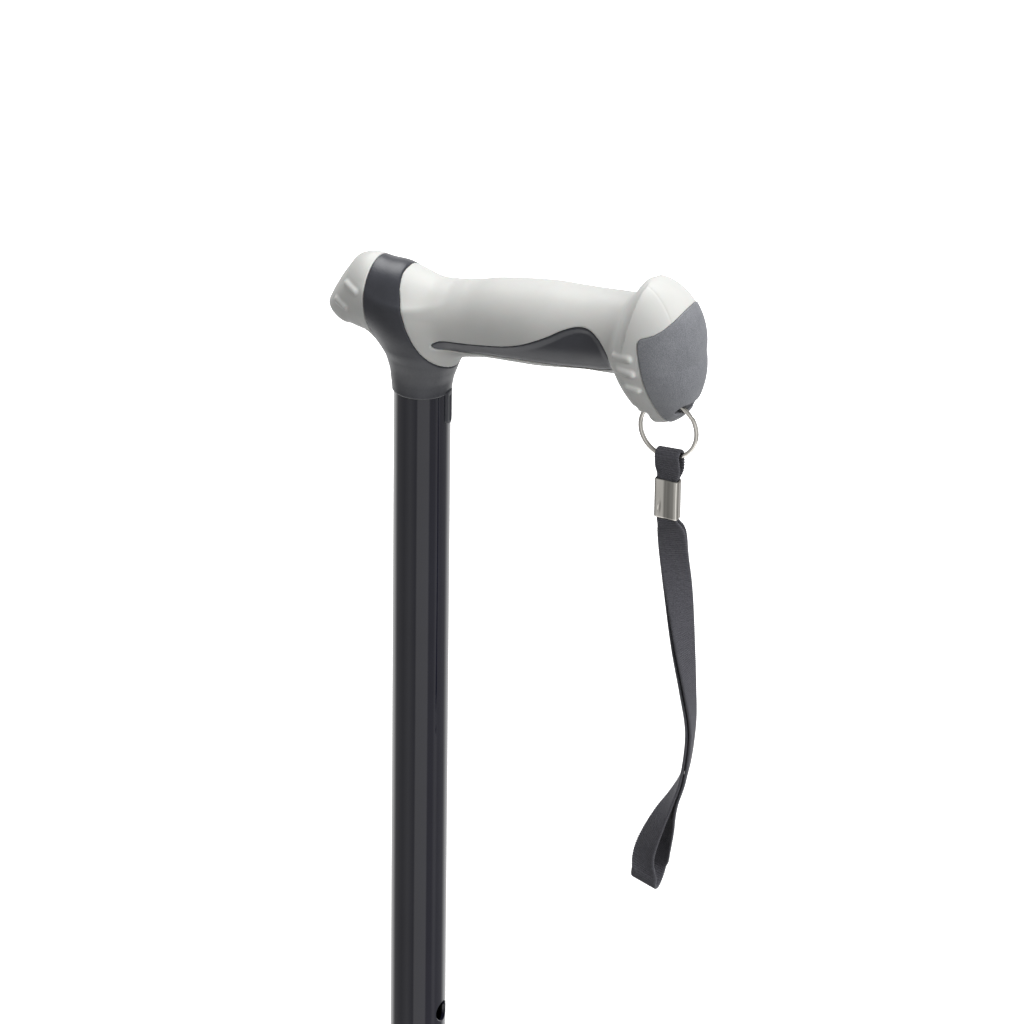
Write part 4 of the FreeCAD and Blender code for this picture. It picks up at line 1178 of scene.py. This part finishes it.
# The hanging loop: depth below the ring's wire, offsets along X and Y, twist in degrees, half gap,
# and the share of its full width that the tape shows (the crimp squeezes it).
STRAP_STATIONS = (
    (-0.5, 0.7, 0.0, 0.0, 2.6, 0.9),
    (4.5, 0.9, 0.0, 0.0, 1.9, 0.92),
    (9.6, 0.3, 0.0, 0.0, 0.75, 0.74),
    (17.2, 0.3, 0.0, 0.0, 0.7, 0.74),
    (25.6, 0.4, 0.0, 0.0, 0.7, 0.74),
    (32.0, 1.4, 2.2, 9.0, 0.9, 0.98),
    (43.7, 1.5, 4.8, 23.0, 1.0, 1.0),
    (60.8, 2.9, 6.8, 48.0, 1.0, 1.0),
    (83.6, 4.8, 8.3, 72.0, 1.0, 1.0),
    (103.2, 6.5, 10.1, 91.0, 0.9, 1.0),
    (121.3, 7.8, 10.9, 104.0, 0.8, 1.0),
    (141.3, 5.9, 10.4, 107.0, 0.75, 1.0),
    (153.1, 2.1, 9.1, 118.0, 0.95, 1.0),
    (163.5, -1.6, 8.7, 136.0, 2.4, 1.0),
    (176.5, -5.6, 8.0, 158.0, 4.6, 1.0),
    (185.0, -7.0, 7.7, 186.0, 6.2, 1.0),
)


def strap_frames():
    """Centre, width direction, outward direction along the whole closed loop of tape."""
    stations = np.array((STRAP_STATIONS[0],) + STRAP_STATIONS + (STRAP_STATIONS[-1],))
    rows = []
    steps = 24
    for index in range(len(STRAP_STATIONS) - 1):
        a, b, c, d = stations[index:index + 4]
        rows += [between_spots(a, b, c, d, step / steps) for step in range(steps)]
    rows.append(stations[-1])
    rows = np.array(rows)
    wire = RING_Z - RING_MEAN
    spots = np.stack([RING_X + rows[:, 1], RING_Y + rows[:, 2], wire - rows[:, 0]], -1)
    frames = []
    for index, row in enumerate(rows):
        down = unit(spots[min(index + 1, len(rows) - 1)] - spots[max(index - 1, 0)])
        twist = math.radians(row[3])
        level = np.array([math.cos(twist), math.sin(twist), 0.0])
        across = unit(level - down * (level @ down))
        lean = np.clip((row[0] - 145.0) / 35.0, 0.0, 1.0)
        across = unit(across + np.array([0.0, 0.0, 0.25 * lean]))
        frames.append((spots[index], across * row[5], np.cross(across, down), down, row[4]))
    loop = []
    for sign, run in ((1, frames), (-1, frames[::-1])):
        for spot, across, through, down, gap in run:
            loop.append((spot + sign * through * gap, across, sign * through))
        spot, across, through, down, gap = run[-1]
        for degrees in range(10, 180, 10):
            angle = math.radians(degrees)
            outward = sign * (through * math.cos(angle) + down * math.sin(angle))
            loop.append((spot + outward * gap, across, outward))
    return loop


def strap():
    """The tape as a closed band with a woven rib across it at every pitch, and a beaded selvedge."""
    loop = strap_frames()
    centres = np.array([row[0] for row in loop])
    widths = np.array([row[1] for row in loop])
    outs = np.array([row[2] for row in loop])
    gaps = np.linalg.norm(np.roll(centres, -1, 0) - centres, axis=1)
    marks = np.concatenate([[0], np.cumsum(gaps)])
    ribs = int(round(marks[-1] / RIB_PITCH))
    per_rib = 5
    count = ribs * per_rib
    where = np.arange(count) / count * marks[-1]

    def along(values):
        closed = np.concatenate([values, values[:1]])
        return np.stack([np.interp(where, marks, closed[:, axis]) for axis in range(3)], -1)

    centre, width, out = along(centres), along(widths), along(outs)
    out /= np.linalg.norm(out, axis=1)[:, None]
    phase = np.arange(count) / per_rib * 2 * math.pi
    section = []
    flat_steps, round_steps, edge_r = 12, 5, 0.5
    flat = TAPE_HALF_WIDTH - edge_r
    for sign in (1, -1):
        for step in range(flat_steps + 1):
            section.append((sign * flat * (2 * step / flat_steps - 1), sign * TAPE_HALF_SHEET, 0.0))
        for step in range(1, round_steps):
            angle = math.pi / 2 - math.pi * step / round_steps
            section.append((sign * (flat + edge_r * math.cos(angle)),
                            sign * TAPE_HALF_SHEET * math.sin(angle), math.cos(angle)))
    verts = []
    for across, through, edge in section:
        rib = RIB_HEIGHT * np.cos(phase + (0.0 if through > 0 else math.pi))
        bead = SELVEDGE_BEAD * np.cos(phase + (0.0 if across > 0 else math.pi)) * abs(edge)
        reach = across + np.sign(across) * bead
        height = through + np.sign(through) * rib * (1 - 0.6 * abs(edge))
        verts.append(centre + width * reach[:, None] + out * height[:, None])
    verts = np.stack(verts, 1)
    faces = [face[::-1] for face in grid_faces(count, len(section), wrap_rows=True)]
    return verts.reshape(-1, 3), faces


def ring_and_strap():
    add("split_ring_form", split_ring(), "ring", "nickel", ["split_ring"], 60)
    add("strap_crimp_form", crimp(), "strap", "nickel", ["strap_crimp"], 50)
    add("strap_form", strap(), "strap", "webbing", ["strap_webbing"])


handle()
shaft()
collar()
base()
ring_and_strap()


# Stage: floor, light and camera ---------------------------------------------------------


def floor():
    """A pale floor that glows white far off; its light on the object is held down for darker undersides."""
    nodes = Nodes("floor")
    cloud = nodes.noise(3.0, 3.0, 0.5)
    nodes.colour(nodes.ramp(cloud, ((0.3, (0.96, 0.96, 0.96)), (0.7, (0.975, 0.975, 0.975)))))
    nodes.set(Roughness=0.9, Specular_IOR_Level=0.0, Emission_Color=(1, 1, 1, 1))
    reach = nodes.node("ShaderNodeVectorMath", operation="LENGTH")
    nodes.link(nodes.place, reach, 0)
    far = nodes.math("MAXIMUM", nodes.math("SUBTRACT", reach.outputs["Value"], FLOOR_GLOW_START), 0.0)
    glow = nodes.math("ADD", FLOOR_GLOW, nodes.math("MINIMUM", far, 4.0))
    nodes.link(glow, nodes.shader, "Emission Strength")
    paths = nodes.node("ShaderNodeLightPath")
    dim = nodes.node("ShaderNodeEmission", Strength=FLOOR_BOUNCE)
    mix = nodes.node("ShaderNodeMixShader")
    nodes.link(paths.outputs["Is Camera Ray"], mix, 0)
    nodes.link(dim.outputs[0], mix, 1)
    nodes.link(nodes.shader.outputs[0], mix, 2)
    nodes.link(mix.outputs[0], nodes.output, "Surface")
    mesh = bpy.data.meshes.new("floor")
    size = 60.0
    corners = [(-size, -size, 0), (size, -size, 0), (size, size, 0), (-size, size, 0)]
    mesh.from_pydata(corners, [], [(0, 1, 2, 3)])
    mesh.materials.append(nodes.material)
    item = bpy.data.objects.new("floor", mesh)
    item.visible_glossy = False
    bpy.context.scene.collection.objects.link(item)


def world():
    """White for camera rays, a soft light from above for shading, and a dark studio for reflections."""
    space = bpy.data.worlds.new("studio")
    bpy.context.scene.world = space
    space.use_nodes = True
    tree = space.node_tree
    tree.nodes.clear()
    output = tree.nodes.new("ShaderNodeOutputWorld")
    paths = tree.nodes.new("ShaderNodeLightPath")
    place = tree.nodes.new("ShaderNodeTexCoord")
    split = tree.nodes.new("ShaderNodeSeparateXYZ")
    tree.links.new(place.outputs["Generated"], split.inputs[0])

    def compute(operation, one, two=0.0):
        return math_node(tree, operation, one, two)

    def clamped(value):
        return compute("MINIMUM", compute("MAXIMUM", value, 0.0), 1.0)

    def between(share, one, two):
        return compute("ADD", compute("MULTIPLY", one, compute("SUBTRACT", 1.0, share)),
                       compute("MULTIPLY", two, share))

    azimuth = compute("ARCTAN2", split.outputs["X"], compute("MULTIPLY", split.outputs["Y"], -1.0))
    degrees = compute("MULTIPLY", azimuth, 180 / math.pi)
    glossy = BASE_GLOW
    for centre, half, soft, glow in PANELS:
        away = compute("ABSOLUTE", compute("SUBTRACT", degrees, centre))
        away = compute("MINIMUM", away, compute("SUBTRACT", 360.0, away))
        part = clamped(compute("DIVIDE", compute("SUBTRACT", half + soft, away), 2 * soft))
        glossy = compute("ADD", glossy, compute("MULTIPLY", part, glow))
    aim = direction(*TOP_PANEL[:2])
    facing = 0.0
    for axis, name in enumerate("XYZ"):
        facing = compute("ADD", facing, compute("MULTIPLY", split.outputs[name], aim[axis]))
    inner, outer = (math.cos(math.radians(angle)) for angle in TOP_PANEL[2:4])
    top = clamped(compute("DIVIDE", compute("SUBTRACT", facing, outer), inner - outer))
    upper = clamped(compute("DIVIDE", compute("SUBTRACT", split.outputs["Z"], 0.1), 0.3))
    glossy = between(upper, glossy, BASE_GLOW)
    lower = clamped(compute("DIVIDE", compute("SUBTRACT", -0.6, split.outputs["Z"]), 0.15))
    glossy = between(lower, glossy, UNDER_GLOW)
    glossy = between(top, glossy, TOP_PANEL[4])
    shading = between(clamped(split.outputs["Z"]), SKY_LOW, SKY_HIGH)
    strength = between(paths.outputs["Is Glossy Ray"], shading, glossy)
    strength = between(paths.outputs["Is Camera Ray"], strength, BACKDROP_GLOW)
    light_node = tree.nodes.new("ShaderNodeBackground")
    tree.links.new(strength, light_node.inputs["Strength"])
    tree.links.new(light_node.outputs[0], output.inputs["Surface"])


def direction(azimuth, elevation):
    """A unit direction; azimuth 0 is towards -Y and 90 towards +X."""
    az, el = math.radians(azimuth), math.radians(elevation)
    return Vector((math.sin(az) * math.cos(el), -math.cos(az) * math.cos(el), math.sin(el)))


SKY_LOW, SKY_HIGH = 0.22, 0.80
FLOOR_BOUNCE = 0.24
FLOOR_GLOW, FLOOR_GLOW_START = 0.22, 0.7
BACKDROP_GLOW = 4.2
BASE_GLOW = 0.38
UNDER_GLOW = 1.8
# Upright panels seen only in reflections: azimuth, half width, soft edge (degrees), added brightness.
PANELS = (
    (31.0, 25.0, 3.0, 0.62),
    (205.0, 58.0, 10.0, 0.9),
    (92.0, 8.0, 5.0, 0.25),
    (-22.0, 14.0, 12.0, 0.22),
)
# The overhead panel: azimuth, elevation, angles of its bright middle and its rim, brightness.
TOP_PANEL = (206.0, 60.0, 15.0, 27.0, 6.5)
CAMERA_AZIMUTH = 25.0
CAMERA_ELEVATION = 27.0
CAMERA_DISTANCE = 2700.0
CAMERA_SENSOR, CAMERA_LENS = 36.0, 246.09375
CAMERA_ROLL = 0.0137
# Where the camera points, from the shaft's axis and the handle's foot.
AIM = (41.06, -4.73, -42.46)
LIGHT_AIM_Z = 700


def light(name, azimuth, elevation, distance, size, power):
    """A round lamp aimed at the upper shaft, which doesn't show in reflections."""
    data = bpy.data.lights.new(name, "AREA")
    data.energy = power
    data.shape = "DISK"
    data.size = size
    item = bpy.data.objects.new(name, data)
    bpy.context.scene.collection.objects.link(item)
    aim = Vector((AXIS_X, AXIS_Y, LIGHT_AIM_Z * MM))
    item.location = aim + distance * direction(azimuth, elevation)
    item.rotation_euler = (aim - item.location).to_track_quat("-Z", "Y").to_euler()
    item.visible_glossy = False


def camera():
    data = bpy.data.cameras.new("camera")
    data.sensor_width = CAMERA_SENSOR
    data.lens = CAMERA_LENS
    data.clip_end = 200.0
    item = bpy.data.objects.new("camera", data)
    bpy.context.scene.collection.objects.link(item)
    back = direction(CAMERA_AZIMUTH, CAMERA_ELEVATION)
    right = direction(CAMERA_AZIMUTH + 90.0, 0.0)
    up = back.cross(right)
    turned_right = right * math.cos(CAMERA_ROLL) + up * math.sin(CAMERA_ROLL)
    turned_up = up * math.cos(CAMERA_ROLL) - right * math.sin(CAMERA_ROLL)
    aim = Vector((AIM[0] * MM + AXIS_X, AIM[1] * MM + AXIS_Y, (AIM[2] + HANDLE_BASE) * MM))
    place = aim + back * CAMERA_DISTANCE * MM
    matrix = item.matrix_world.copy()
    for column, axis in enumerate((turned_right, turned_up, back, place)):
        for row in range(3):
            matrix[row][column] = axis[row]
    item.matrix_world = matrix
    bpy.context.scene.camera = item


floor()
world()
light("key_panel", 195, 68, 3.0, 2.2, 53)
light("fill_panel", 84, 24, 3.2, 2.4, 84)
light("side_panel", -60, 26, 3.2, 2.0, 12)
camera()
bpy.context.scene.view_settings.view_transform = "Standard"
